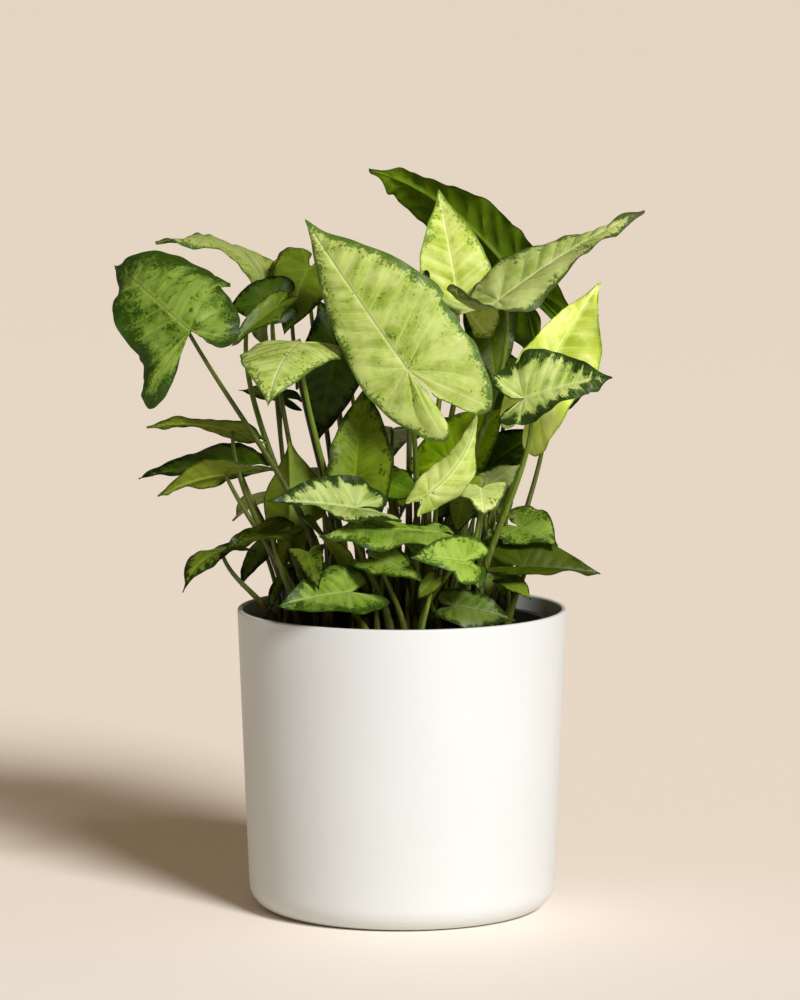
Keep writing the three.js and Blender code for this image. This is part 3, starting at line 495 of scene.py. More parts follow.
leafRows = [
    leafRow("leaf_front_large", "pale", (3, -50, 300), (-52, -18, 378), (-0.25, -0.93, 0.1), (9, -18),
            droop=12, left=dict(fold=0, wide=0.66, lobe=0.85, spread=1.18),
            right=dict(fold=-5, wide=0.92, full=0.12), lean=(-1, 3),
            look=("pale", 0.93, 2.6, 4.2, 0.72, 0.9), ruffle=0.75),
    leafRow("leaf_far_left", "mid", (-113, -45, 320), (-156, 13, 351), (-0.4, -0.75, 0.53), (-40, -35),
            droop=45, width=1.15, left=dict(fold=-5, wide=0.85, lobe=1.3, spread=0.45),
            right=dict(fold=5, wide=0.92, full=0.6, cup=60, lobe=0.5), lean=(3, -4), arch=(12, -3, -21),
            look=("fresh", 0.7, 17, 15, 0.9, 1.2), ruffle=1.4),
    leafRow("leaf_top_left_pale", "pale", (-75, 26, 338), (-134, 3, 364), (-0.1, -0.55, 0.83), (-48, 4),
            droop=90, width=0.85, twist=55, left=dict(fold=-20, wide=0.7, full=-0.3),
            right=dict(fold=5, wide=1.3, lobe=1.2), lean=(3, -1), arch=(2, 1, 4),
            look=("pale", 0.68, 1.5, 2, 0.6, 1)),
    leafRow("leaf_back_left_grey", "under", (-60, 36, 334), (-64, 66, 355), (0, 0.6, 0.8), (-34, 37),
            width=1.1, both=dict(fold=30, lobe=0.5), lean=(4, 3), arch=(2, -3, 1), thick=2.5,
            look=("under", 1.7, 3, 3, 0.4, 0.6), ruffle=1.6),
    leafRow("leaf_shaded_left_inner", "dark", (-51, 23, 348), (-64, 3, 314), (-0.1, -0.8, 0.6), (-32, 18),
            droop=30, width=1.1, lean=(0, 1), arch=(0, -4, -7), thick=2.5,
            look=("olive", 0.8, 3, 3, 0.5, 0.8)),
    leafRow("leaf_shaded_left_outer", "dark", (-69, 2, 333), (-95, 4, 329), (-0.2, -0.9, 0.4), (-59, 16),
            width=1.3, arch=(-4, 5, -1), thick=2, look=("dark", 0.7, 5, 5, 0.5, 0.9)),
    leafRow("leaf_left_grey_folded", "under", (-69, -11, 329), (-92, -25, 310), (-0.3, -0.9, 0.3),
            (-48, -4), width=0.6, both=dict(fold=35), arch=(0, 14, -4), thick=2.5,
            look=("under", 0.6, 3, 3, 0.4, 0.5), ruffle=1.8),
    leafRow("leaf_left_pale_hanging", "pale", (-54, -27, 312), (-71, -73, 282), (-0.1, -0.45, 0.9),
            (-26, -16), droop=60, left=dict(fold=-5, lobe=0.8), right=dict(fold=-5, lobe=0.7, wide=1.35),
            look=("pale", 0.95, 1.5, 1.5, 0.72, 1)),
    leafRow("leaf_top_dark", "deep", (62, 40, 343), (-18, 7, 403), (-0.2, 0.6, 0.75), (20, 25), droop=65,
            width=0.62, left=dict(wide=0.75, full=0.05), lean=(0, 1), arch=(-9, -3, 1),
            look=("deep", 0.85, 2, 2, 0.2, 0.4), ruffle=1.4),
    leafRow("leaf_top_yellow", "yellow", (31, 6, 334), (20, 11, 393), (0.05, -0.95, 0.3), (12, 10), droop=8,
            width=0.88, look=("yellow", 1.08, 1.2, 1.8, 0.6, 1.1)),
    leafRow("leaf_top_right_long", "grey", (52, -19, 334), (132, 8, 381), (-0.3, -0.35, 0.9), (14, -1),
            droop=15, width=0.6, twist=25, left=dict(fold=10, back=-105, full=-0.2, lobe=1.15),
            right=dict(fold=10, back=-105, wide=0.85, lobe=1.1), lean=(-1, 0),
            look=("grey", 1, 2.5, 2.5, 0.7, 1), ruffle=1.7),
    leafRow("leaf_right_hanging_olive", "olive", (47, 18, 322), (52, 4, 282), (0.1, -0.9, 0.4), (24, 10),
            width=0.8, lean=(0, 1), arch=(0, 0, -3)),
    leafRow("leaf_right_yellow", "yellow", (72, -8, 284), (108, 2, 343), (-0.3, -0.9, 0.2), (42, 2),
            left=dict(fold=45, wide=0.64, lobe=0.7), right=dict(fold=15, wide=0.8, full=0.45, lobe=1.1),
            look=("yellow", 1.25, 0.8, 1.2, 0.1, 0.6)),
    leafRow("leaf_right_cream", "cream", (66, -38, 283), (112, -56, 296), (0.1, -0.8, 0.6), (40, -38),
            left=dict(fold=15, back=-60, wide=1.25, lobe=0.8), right=dict(fold=10, wide=0.8, lobe=0.75),
            lean=(-4, -1), arch=(-1, -3, 2), look=("cream", 1.1, 11, 10, 0.6, 1.2), ruffle=2.3),
    leafRow("leaf_right_inner_dark", "dark", (60, 30, 279), (57, 61, 302), (0, 0.6, 0.8), (49, 43),
            lean=(0, -1), thick=2.5),
    leafRow("leaf_right_behind", "dark", (79, 37, 272), (106, 52, 280), (0.1, -0.3, 0.95), (56, 16),
            thick=2.5),
    leafRow("leaf_centre_shaded", "dark", (-36, 13, 304), (-46, 17, 254), (0, -0.8, 0.5), (-21, 2),
            width=0.85, arch=(-7, 2, -3), look=("dark", 0.9, 5, 5, 0.5, 0.9)),
    leafRow("leaf_centre_inner", "dark", (-31, 21, 308), (-47, 26, 332), (-0.2, -0.9, 0.3), (-14, 18),
            thick=2),
    leafRow("leaf_centre_sail", "olive", (-25, -26, 239), (-20, -11, 289), (0, -0.95, 0.3), (-18, -27),
            droop=10, left=dict(fold=30, wide=0.8), right=dict(fold=30), arch=(-2, -1, 0),
            look=("olive", 1.14, 3, 3, 0.6, 1), ruffle=1.3),
    leafRow("leaf_cream_left", "cream", (-25, -57, 226), (-72, -70, 231), (0, -0.75, 0.66), (-6, -42),
            droop=15, left=dict(fold=45), right=dict(fold=10), lean=(0, 2), arch=(-2, 7, -1),
            look=("cream", 0.75, 6, 10, 0.6, 1.5), ruffle=1.9),
    leafRow("leaf_centre_level", "mid", (20, -43, 211), (-44, -74, 213), (0, -0.55, 0.83), (16, -42),
            left=dict(fold=15, lobe=0.35, back=50), right=dict(fold=-10, lobe=0.2, wide=0.65),
            arch=(5, 2, 0), look=("fresh", 0.85, 2, 3, 0.6, 1.4), ruffle=1.9),
    leafRow("leaf_right_pale_sail", "yellow", (14, -59, 234), (40, -36, 276), (-0.5, -0.8, 0.2), (10, -28),
            droop=5, sickle=60, width=0.75, left=dict(fold=5, lobe=0.35, wide=0.8),
            right=dict(fold=-75, lobe=0.35), arch=(2, 40, 6), look=("pale", 1.05, 1, 1, 0.3, 0.7)),
    leafRow("leaf_right_green_mid", "mid", (25, 12, 244), (59, 7, 276), (-0.1, -0.9, 0.4), (30, -6),
            thick=2.5, look=("deep", 2.6, 3, 3, 0.5, 0.9)),
    leafRow("leaf_right_curl", "pale", (43, -32, 234), (44, -56, 222), (0, -0.3, 0.95), (33, -38),
            width=1.2, left=dict(spread=0.7, back=-10), right=dict(spread=0.7, back=-20), arch=(1, 3, 2),
            thick=2.5, look=("grey", 1.3, 3, 3, 0.5, 0.6), ruffle=2.2),
    leafRow("leaf_right_small_olive", "olive", (35, -22, 231), (29, -20, 207), (-0.2, -0.9, -0.3),
            (30, -14), width=0.9, lean=(0, 1), arch=(-4, 11, -4), thick=2,
            look=("olive", 1.14, 3, 3, 0.5, 0.8)),
    leafRow("leaf_centre_small_dark", "dark", (-9, -18, 236), (12, -28, 227), (0.3, -0.85, 0.4), (-2, -30),
            left=dict(wide=1.15), thick=2, look=("dark", 1.7, 3, 3, 0.5, 0.8)),
    leafRow("leaf_right_lower_dark", "dark", (28, -14, 231), (18, -11, 213), (-0.2, -0.9, 0.3), (17, -22),
            both=dict(lobe=0.5), arch=(-2, -1, 2), thick=2),
    leafRow("leaf_left_level_long", "dark", (-86, 10, 241), (-144, 5, 235), (-0.1, -0.6, 0.8), (-55, -6),
            droop=25, width=0.85, left=dict(fold=35, lobe=0.7), right=dict(fold=0, lobe=0.7), lean=(-1, 0),
            arch=(4, 0, 4), ruffle=1.6),
    leafRow("leaf_left_turned", "under", (-93, -31, 242), (-131, -45, 231), (-0.2, 0.4, 0.9), (-51, -26),
            twist=40, right=dict(wide=0.6, lobe=0.3), lean=(-4, -10), arch=(3, 8, -2), ruffle=1.9),
    leafRow("leaf_left_upper_grey", "under", (-89, -17, 263), (-138, -23, 266), (0, 0.5, 0.85), (-60, -13),
            droop=30, width=0.42, both=dict(lobe=0.7), lean=(-1, 2), arch=(-1, 3, 1), ruffle=1.7),
    leafRow("leaf_left_olive_upright", "olive", (-61, -23, 206), (-62, -10, 262), (0.3, 0.9, 0.2),
            (-45, -20), width=0.5, both=dict(fold=35, lobe=0.5, full=1), lean=(0, 1), arch=(1, 0, 0),
            thick=4, look=("olive", 0.75, 1, 1, 0.2, 0.5)),
    leafRow("leaf_left_inner_strip", "dark", (-65, 35, 277), (-90, 34, 281), (0, -0.4, 0.9), (-52, 26),
            thick=2),
    leafRow("leaf_right_small_pale", "pale", (43, -13, 229), (66, -9, 245), (-0.2, -0.7, 0.7), (38, -10),
            lean=(-2, 1), thick=2, look=("grey", 0.7, 3, 3, 0.5, 0.8), ruffle=2),
    leafRow("leaf_low_left_upper", "mid", (-68, -43, 211), (-96, -48, 202), (-0.1, -0.65, 0.75), (-55, -35),
            width=1.3, left=dict(fold=40), right=dict(fold=0, wide=0.75), arch=(-1, 0, -1), thick=2.5,
            look=("olive", 0.53, 4, 4, 0.7, 0.9), ruffle=1.8),
    leafRow("leaf_low_far_left", "mid", (-96, -24, 199), (-118, -45, 179), (-0.5, -0.45, 0.75), (-67, -21),
            droop=60, width=0.8, lean=(-3, 3), arch=(-1, -1, -1), thick=2.5,
            look=("mid", 0.48, 7, 7, 0.6, 0.8), ruffle=1.6),
    leafRow("leaf_low_left_dark", "dark", (-75, -4, 199), (-88, -12, 178), (-0.6, -0.6, 0.5), (-65, -8),
            width=0.85, both=dict(lobe=0.5), lean=(-1, 0), thick=2),
    leafRow("leaf_low_left_sliver", "dark", (-63, -21, 189), (-73, -29, 164), (-0.5, -0.8, 0.3), (-63, -29),
            width=0.4, arch=(1, 0, 1), thick=2),
    leafRow("leaf_low_left_star", "mid", (-50, -62, 203), (-44, -80, 185), (0, -0.7, 0.7), (-38, -46),
            width=0.7, both=dict(spread=0.55, lobe=1.2), thick=2, look=("mid", 0.32, 3, 3, 0.5, 2.2)),
    leafRow("leaf_low_left_big", "pale", (-28, -67, 182), (-66, -86, 177), (0, -0.85, 0.5), (-18, -54),
            left=dict(fold=30), right=dict(fold=0), look=("fresh", 0.68, 14, 9, 0.55, 1.1), ruffle=1.5),
    leafRow("leaf_low_centre_small", "mid", (-13, -64, 199), (11, -82, 190), (0, -0.6, 0.8), (2, -58),
            width=0.9, thick=2.5, look=("fresh", 0.75, 4, 4, 0.6, 0.9)),
    leafRow("leaf_low_centre_bright", "pale", (10, -50, 202), (-2, -58, 209), (0, -0.7, 0.7), (22, -53),
            thick=2, look=("fresh", 0.75, 3, 3, 0.66, 1.1), ruffle=2),
    leafRow("leaf_low_centre_tiny", "yellow", (16, -68, 188), (8, -67, 178), (0, -0.8, 0.6), (10, -66),
            arch=(-1, -1, -2), thick=2, look=("mid", 0.44, 3, 3, 0.5, 0.9)),
    leafRow("leaf_low_right_pale", "pale", (32, -71, 199), (4, -85, 203), (0.1, -0.85, 0.5), (10, -52),
            width=1.1, left=dict(full=-0.6, lobe=0.9, spread=1.2), right=dict(lobe=1.6), lean=(-1, 0),
            arch=(-2, 2, -1), thick=2.5, look=("fresh", 0.9, 4, 4, 0.66, 1.2), ruffle=1.7),
    leafRow("leaf_low_right_front", "mid", (28, -56, 173), (61, -56, 165), (0, -0.75, 0.65), (36, -50),
            width=0.9, both=dict(lobe=0.6), thick=2.5, look=("fresh", 0.37, 6, 7, 0.6, 1.6), ruffle=1.5),
    leafRow("leaf_low_right_curl", "dark", (41, -52, 191), (41, -57, 181), (0, -0.6, 0.8), (46, -44),
            lean=(0, 1), thick=2),
    leafRow("leaf_low_right_upright", "mid", (50, -22, 185), (47, -11, 213), (0, -0.95, 0.3), (48, -32),
            width=0.85, thick=2.5, look=("mid", 0.53, 4, 4, 0.6, 0.9)),
    leafRow("leaf_right_low_pale", "pale", (63, -22, 212), (84, -37, 203), (0.2, -0.7, 0.7), (51, -9),
            width=1.3, left=dict(wide=1.15, lobe=1.5), lean=(0, 1), arch=(-1, 2, 3), thick=2,
            look=("fresh", 0.66, 3, 3, 0.66, 1.2), ruffle=1.9),
    leafRow("leaf_low_right_long", "olive", (65, -38, 192), (107, -36, 188), (0.1, -0.85, 0.5), (57, -28),
            left=dict(fold=0), right=dict(fold=60), arch=(0, 2, 2), look=("olive", 0.44, 1, 1, 0.3, 0.5)),
    leafRow("leaf_low_right_star", "mid", (57, -42, 185), (69, -59, 177), (0.2, -0.7, 0.7), (56, -38),
            width=0.75, thick=2, look=("mid", 0.53, 2, 2, 0.4, 0.8)),
    leafRow("leaf_back_top", "mid", (2, 60, 320), (22, 108, 296), (0.1, 0.55, 0.83), (4, 34), droop=40),
    leafRow("leaf_back_left", "mid", (-37, 60, 299), (-60, 105, 275), (-0.1, 0.5, 0.85), (-22, 37),
            droop=40, lean=(1, 1), arch=(1, 1, 1)),
    leafRow("leaf_back_right", "mid", (40, 75, 285), (66, 117, 262), (0.1, 0.5, 0.85), (28, 46), droop=40,
            lean=(-1, 0)),
    leafRow("leaf_back_middle", "mid", (-5, 80, 255), (-12, 126, 228), (0, 0.5, 0.85), (-4, 52), droop=40),
    leafRow("leaf_back_low_left", "mid", (-44, 67, 231), (-56, 94, 209), (-0.1, 0.5, 0.85), (-40, 48),
            droop=40, thick=2.5),
    leafRow("leaf_back_low_right", "mid", (46, 76, 222), (58, 97, 196), (0.1, 0.5, 0.85), (40, 54),
            droop=40, thick=2.5),
    leafRow("leaf_back_low_middle", "pale", (4, 77, 197), (14, 99, 178), (0, 0.5, 0.85), (8, 60), droop=40,
            thick=2.5),
    leafRow("leaf_back_side_left", "pale", (-70, 55, 221), (-95, 70, 204), (-0.3, 0.4, 0.85), (-54, 38),
            droop=40, thick=2.5),
]

# Each tone's colours: heart is the pale middle, rib the veins, field the green between them, margin the
# green edge, ink the dark flecks. The last five are the same for the underside. The dark tone is partly
# painted shade: its colours are as dark as leaves deep in the clump look in shade. The deep tone is partly
# painted light too: the shaded, saturated green of a leaf that light shines through.
toneColours = {
    "pale": ("#acbe5d", "#d0db8e", "#8ca23d", "#5e8323", "#385616",
             "#8f9e44", "#b0be64", "#788d35", "#637823", "#384b15"),
    "yellow": ("#b6c352", "#d9e297", "#99ad2e", "#86a41e", "#547416",
               "#97a738", "#b5c163", "#859c2c", "#6f8620", "#455d15"),
    "cream": ("#b5c76b", "#d7e096", "#789739", "#355117", "#1b2d0c",
              "#869944", "#adba69", "#6a7f35", "#435921", "#25340e"),
    "grey": ("#a1af60", "#c4cd87", "#809441", "#536b2a", "#263716",
             "#7d8e43", "#a2af68", "#6a7c35", "#52662a", "#2f4116"),
    "fresh": ("#85a436", "#a9c55d", "#60821f", "#416512", "#1e3707",
              "#698223", "#8ba43c", "#556d18", "#415911", "#253a07"),
    "mid": ("#809925", "#a4bb41", "#4e6f0e", "#375607", "#1a2d02",
            "#65791b", "#879d2f", "#526711", "#3f560a", "#243704"),
    "olive": ("#5d7111", "#728622", "#42550a", "#2f4204", "#152202",
              "#607411", "#809329", "#4e620c", "#3c4f07", "#212e03"),
    "under": ("#607816", "#879d2f", "#485e0f", "#354b0a", "#162903",
              "#6b7a1e", "#8d9d31", "#546414", "#3f4f0e", "#263007"),
    "dark": ("#345104", "#577014", "#263d02", "#1a2c02", "#0a1501",
             "#3b4c08", "#596b18", "#2f3e04", "#232f02", "#111a01"),
    "deep": ("#4f6703", "#738711", "#3d5502", "#2e4402", "#152601",
             "#4c6902", "#6c850d", "#405b02", "#334b01", "#1e2f01"),
}


# Syngonium leaf skin: thin and faintly waxy, so light glances off it and glows through a little. The pale
# middle and the veins lack green, and the green margin streaks in between the side veins. Clouds are 14 mm
# wide, blots 6 mm and flecks 1.6 mm. Streaks and broader panels run along the side veins, so their scales
# count in veins across and in metres along. roughness and glow are for the upper side and the underside.
# feather is how ragged the green margin is and crease how dark the painted shade in the midrib's sunken
# line is, for the tones that differ from the plain ones.
skinSettings = {
    "clouds": (0.014, 4, 0.6), "blots": (0.006, 5, 0.65), "flecks": (0.0016, 3, 0.6),
    "streaks": ((9, 70, 30), 4, 0.65), "panels": ((1.15, 45, 30), 3, 0.6),
    "roughness": (0.38, 0.55), "glow": (0.25, 0.3), "bump": 0.4, "bumpDepth": 0.0008, "ior": 1.4, "wax": 0.18,
    "scatter": (0.6, 1, 0.1), "scatterDepth": 0.0012,
    "feather": {"cream": 1, "mid": 1, "dark": 1, "fresh": 0.6}, "plainFeather": 0.35,
    "crease": {"pale": 0.4, "fresh": 0.3}, "plainMidribShade": 0.15,
}


def leafMaterial(name, colours, roughness, glow, crease, feather):
    s = skinSettings
    heart, rib, field, margin, ink = [linear(c) for c in colours]
    material, tree, shader = newMaterial(name)
    rim, ribAway, edgeAway, vein, shade = [
        addNode(tree, "ShaderNodeAttribute", {"attribute_name": label}).outputs["Fac"]
        for label in ("rim", "ribAway", "edgeAway", "vein", "shade")]
    spot, paint = [addNode(tree, "ShaderNodeAttribute", {"attribute_name": label}).outputs["Vector"]
                   for label in ("spot", "paint")]
    reach, mottle, fieldGreen = addNode(tree, "ShaderNodeSeparateXYZ", links={0: paint}).outputs
    spotParts = addNode(tree, "ShaderNodeSeparateXYZ", links={0: spot}).outputs
    clouds, blots, flecks = [
        addNode(tree, "ShaderNodeTexNoise", None, {"Scale": 1 / size, "Detail": detail, "Roughness": rough},
                {"Vector": spot})
        for size, detail, rough in (s["clouds"], s["blots"], s["flecks"])]
    alongVeins = addNode(tree, "ShaderNodeCombineXYZ",
                         links={"X": vein, "Y": spotParts["Y"], "Z": spotParts["Z"]})
    streaks, panels = [
        addNode(tree, "ShaderNodeTexNoise", None, {"Scale": 1, "Detail": detail, "Roughness": rough},
                {"Vector": addNode(tree, "ShaderNodeMapping", None, {"Scale": scale}, {0: alongVeins})})
        for scale, detail, rough in (s["streaks"], s["panels"])]
    veinAway = addNode(tree, "ShaderNodeMath", {"operation": "PINGPONG"}, {1: 0.5}, {0: vein})
    past = addNode(tree, "ShaderNodeMath", {"operation": "FRACT"}, links={0: vein})
    mixed = addNode(tree, "ShaderNodeMath", multiplyAdd, {1: 1.6}, {0: panels, 2: streaks})
    depth = addNode(tree, "ShaderNodeMath", {"operation": "DIVIDE"}, links={0: edgeAway, 1: reach})
    for weight, source in ((2.2 * feather, streaks), (2.4, blots), (-1.4 * feather, veinAway)):
        depth = addNode(tree, "ShaderNodeMath", multiplyAdd, {1: weight}, {0: source, 2: depth})
    middle, soft = 1.9 + 0.75 * feather, 0.5 - 0.25 * feather

    # Ramps, each with what it follows, where that starts and ends, and the ramp's value there. veinAway is
    # 0 on a side vein and 0.5 halfway to the next, past grows from 0 to 1 between two of them, and depth is
    # the way in from the edge in reaches, ragged along the streaks and deeper between the veins.
    ramps = {
        "veinLight": (smooth, veinAway, 0, 0.055, 0.42, 0),
        "fade": (None, rim, 0.2, 0.85, 1, 0),
        "worn": (None, panels, 0.38, 0.6, 0.25, 1),
        "ribLight": (smooth, ribAway, 0.0006, 0.0019, 0.55, 0),
        # Painted shade: ink laid along the midrib's sunken line, where the groove lies in shade.
        "midribPaintedShade": (smooth, ribAway, 0.0002, 0.0008, crease, 0),
        # Painted shade: field green along one side of each side vein, as if its crease shaded it.
        "veinPaintedShade": (smooth, past, 0.03, 0.09, 0, 1),
        "veinPaintedShadeFade": (smooth, past, 0.1, 0.45, 0.3, 0),
        "paleCloud": (smooth, clouds, 0.36, 0.6, 0.5, 0),
        "between": (smooth, veinAway, 0, 0.4, 0.35, 1),
        "patches": (None, mixed, 1.15, 1.5, 0, 1),
        "inner": (None, rim, 0.1, 1, 1.9, 0.8),
        "edge": (smooth, depth, middle - soft, middle + soft, 0.45 + 0.5 * feather, 0),
        "nearEdge": (None, edgeAway, 0, 0.009, 0.14, 0),
        "outline": (None, edgeAway, 0.0001, 0.0007, 0.12, 0),
        "gloss": (None, clouds, 0, 1, roughness - 0.06, roughness + 0.08),
    }
    marks = {label: addNode(tree, "ShaderNodeMapRange", settings, dict(zip((1, 2, 3, 4), ends)), {0: source})
             for label, (settings, source, *ends) in ramps.items()}

    # Light side veins that die out towards the margin and wear off in places, a painted shade of green along
    # one side of each, where its crease would shade it, and green streaks between them in patches, strongest
    # near the midrib.
    for label, factors in (("veinLight", ("fade", "worn")), ("veinPaintedShade", ("veinPaintedShadeFade", "fade")),
                           ("between", ("patches", "inner"))):
        for factor in factors:
            marks[label] = addNode(tree, "ShaderNodeMath", multiply,
                                   links={0: marks[label], 1: marks[factor]})
    greened = addNode(tree, "ShaderNodeMath", {**multiply, "use_clamp": True},
                      links={0: marks["between"], 1: fieldGreen})
    marks["light"] = addNode(tree, "ShaderNodeMath", {"operation": "MAXIMUM"},
                             links={0: marks["veinLight"], 1: marks["ribLight"]})

    # Dark flecks crowd along the very edge and gather in a few loose groups elsewhere.
    crowd = marks["nearEdge"]
    for weight, source in ((0.1, marks["edge"]), (0.5, clouds), (0.3, blots), (0.25, mottle), (0.55, flecks)):
        crowd = addNode(tree, "ShaderNodeMath", multiplyAdd, {1: weight}, {0: source, 2: crowd})
    outlined = addNode(tree, "ShaderNodeMath", {"operation": "ADD"}, links={0: crowd, 1: marks["outline"]})
    marks["fleck"] = addNode(tree, "ShaderNodeMapRange", smooth,
                             {"From Min": 0.935, "From Max": 1.01, "To Max": 0.75}, {"Value": outlined})

    layer = addNode(tree, "ShaderNodeMix", blend, {colourA: heart, colourB: field}, {0: greened})
    for colour, label in ((rib, "paleCloud"), (field, "veinPaintedShade"), (rib, "light"), (margin, "edge"),
                          (ink, "fleck"), (ink, "midribPaintedShade")):
        layer = addNode(tree, "ShaderNodeMix", blend, {colourB: colour},
                        {0: marks[label], colourA: layer.outputs[colourOut]})
    # The colour is scaled by the leaf's shade value: its own tone, partly painted light, with painted shade
    # on leaves in the shade of others and a painted glow on leaves that light shines through.
    leafColourWithPaintedLight = addNode(tree, "ShaderNodeVectorMath", {"operation": "SCALE"},
                     links={0: layer.outputs[colourOut], "Scale": shade})
    bump = addNode(tree, "ShaderNodeBump", None, {"Strength": s["bump"], "Distance": s["bumpDepth"]},
                   {"Height": blots})
    fillNode(tree, shader, {
        "IOR": s["ior"], "Specular IOR Level": s["wax"], "Subsurface Weight": glow,
        "Subsurface Radius": s["scatter"], "Subsurface Scale": s["scatterDepth"],
    }, {"Base Color": leafColourWithPaintedLight, "Roughness": marks["gloss"], "Normal": bump})
    return material


# Leaf stalk: smooth and juicy, brownish where it leaves the soil and greener above, with fine lengthwise
# streaks 0.8 mm apart and blotches of 20 mm. The low brown part is its own colour darkened with painted
# shade, the shade of the clump over the stalks' feet.
def stalkMaterial(name, base, upper, streak):
    material, tree, shader = newMaterial(name)
    along = addNode(tree, "ShaderNodeAttribute", {"attribute_name": "along"}).outputs["Fac"]
    place = addNode(tree, "ShaderNodeTexCoord").outputs["Object"]
    stretched = addNode(tree, "ShaderNodeMapping", None, {"Scale": (1 / 0.0008, 1 / 0.0008, 1 / 0.018)},
                        {"Vector": place})
    streaks = addNode(tree, "ShaderNodeTexNoise", None, {"Scale": 1, "Detail": 3}, {"Vector": stretched})
    blotches = addNode(tree, "ShaderNodeTexNoise", None, {"Scale": 1 / 0.02, "Detail": 2}, {"Vector": place})
    shifted = addNode(tree, "ShaderNodeMath", multiplyAdd, {1: 0.5}, {0: blotches, 2: along})
    # The green starts high up the stalk; below it is the base colour, brown and darkened with painted shade.
    height = addNode(tree, "ShaderNodeMapRange", smooth, {"From Min": 0.42, "From Max": 1.1},
                     {"Value": shifted})
    lines = addNode(tree, "ShaderNodeMapRange", None, {"From Min": 0.5, "From Max": 0.72, "To Max": 0.55},
                    {"Value": streaks})
    layer = addNode(tree, "ShaderNodeMix", blend, {colourA: linear(base), colourB: linear(upper)},
                    {0: height})
    layer = addNode(tree, "ShaderNodeMix", blend, {colourB: linear(streak)},
                    {0: lines, colourA: layer.outputs[colourOut]})
    bump = addNode(tree, "ShaderNodeBump", None, {"Strength": 0.25, "Distance": 0.0003}, {"Height": streaks})
    fillNode(tree, shader, {
        "Roughness": 0.45, "IOR": 1.42, "Specular IOR Level": 0.3, "Subsurface Weight": 0.2,
        "Subsurface Radius": (0.8, 1, 0.2), "Subsurface Scale": 0.0015,
    }, {"Base Color": layer.outputs[colourOut], "Normal": bump})
    return material


# The stalk follows its curve with the curve's own radius. A shallow groove runs up it, and it joins the
# blade.
def leafTree():
    tree, given, result = newModifierTree("stalkAndBlade", {
        "Stalk": "Object", "Sides": "Int", "Groove": "Float", "Material": "Material"})
    curve = addNode(tree, "GeometryNodeObjectInfo", links={"Object": given["Stalk"]})
    share = addNode(tree, "GeometryNodeSplineParameter")
    marked = addNode(tree, "GeometryNodeStoreNamedAttribute", {"data_type": "FLOAT", "domain": "POINT"},
                     {"Name": "along"}, {"Geometry": curve.outputs["Geometry"], "Value": share})
    ring = addNode(tree, "GeometryNodeCurvePrimitiveCircle", None, {"Radius": 1},
                   {"Resolution": given["Sides"]})
    where = addNode(tree, "GeometryNodeInputPosition")
    parts = addNode(tree, "ShaderNodeSeparateXYZ", links={0: where})
    facing = addNode(tree, "ShaderNodeMath", {"operation": "POWER"}, {1: 3}, {0: parts.outputs["X"]})
    inward = addNode(tree, "ShaderNodeMath", {"operation": "MAXIMUM"}, {1: 0}, {0: facing})
    depth = addNode(tree, "ShaderNodeMath", multiply, links={0: inward, 1: given["Groove"]})
    back = addNode(tree, "ShaderNodeMath", multiply, {1: -1}, {0: depth})
    shift = addNode(tree, "ShaderNodeCombineXYZ", links={0: back})
    section = addNode(tree, "GeometryNodeSetPosition", links={"Geometry": ring, "Offset": shift})
    radius = addNode(tree, "GeometryNodeInputRadius")
    swept = addNode(tree, "GeometryNodeCurveToMesh", None, {"Fill Caps": True},
                    {"Curve": marked, "Profile Curve": section, "Scale": radius})
    smoothed = addNode(tree, "GeometryNodeSetShadeSmooth", links={"Geometry": swept})
    painted = addNode(tree, "GeometryNodeSetMaterial",
                      links={"Geometry": smoothed, "Material": given["Material"]})
    joined = addNode(tree, "GeometryNodeJoinGeometry")
    tree.links.new(given["Geometry"], joined.inputs[0])
    tree.links.new(painted.outputs[0], joined.inputs[0])
    real = addNode(tree, "GeometryNodeRealizeInstances", links={"Geometry": joined})
    tree.links.new(real.outputs[0], result["Geometry"])
    return tree


# Lengths in millimetres, sizes of unevenness in metres but notchSize in shares of the way round a half, the
# outline in midrib lengths. A leaf as long as fullVeins, fullReach or fullField has all its side veins, its
# green margin's whole depth or its full green between the veins, and one as long as large its whole relief.
# The seeds set each leaf's unevenness apart from the next one's. detail gives, for midribs over a length, the
# stations round each half and the rings across it.
bladeSettings = {
    "thickness": 0.5, "edgeThickness": 0.3, "halfWidth": 0.4, "lobeReach": 0.43, "veinSlope": 0.55,
    "waves": 2.5, "wavePhase": 0.3, "notch": 0.05, "frill": 0.9, "curl": 3.4, "buckle": 2.2, "sway": 2.0,
    "quilt": 1.5, "veins": (5, 3.2), "lobeVeins": 0.42, "wander": 0.3, "uneven": 0.45, "groove": 0.25,
    "ridge": 0.8, "crowding": 1.35, "notchSize": 0.06, "wanderSize": 0.02, "buckleSize": 0.022,
    "curlSize": 0.016, "frillSize": 0.007, "swayTurn": 7.5, "swaySide": 1.3, "unevenTurn": 2.6, "tipFade": 6,
    "tipThin": 0.4, "quiltLeast": 0.4, "quiltSharp": 0.75, "quiltBroad": 0.7, "grooveWidth": 0.7,
    "ridgeWidth": 0.95, "lobeTip": (-0.43, 0.25), "lobeRibOff": 0.6, "fullVeins": 90, "fullReach": 70,
    "fullField": 75, "large": 100, "notchSeed": 1.7, "spotSeed": 0.37, "straySeed": 1.3, "swaySeed": 2.4,
    "outline": [(1, 0), (0.86, 0.07), (0.66, 0.21), (0.42, 0.33), (0.17, 0.395), (-0.08, 0.4), (-0.3, 0.35),
                (-0.43, 0.25), (-0.4, 0.14), (-0.2, 0.045)],
    "detail": [(60, 140, 18), (38, 90, 13), (0, 56, 9)],
}
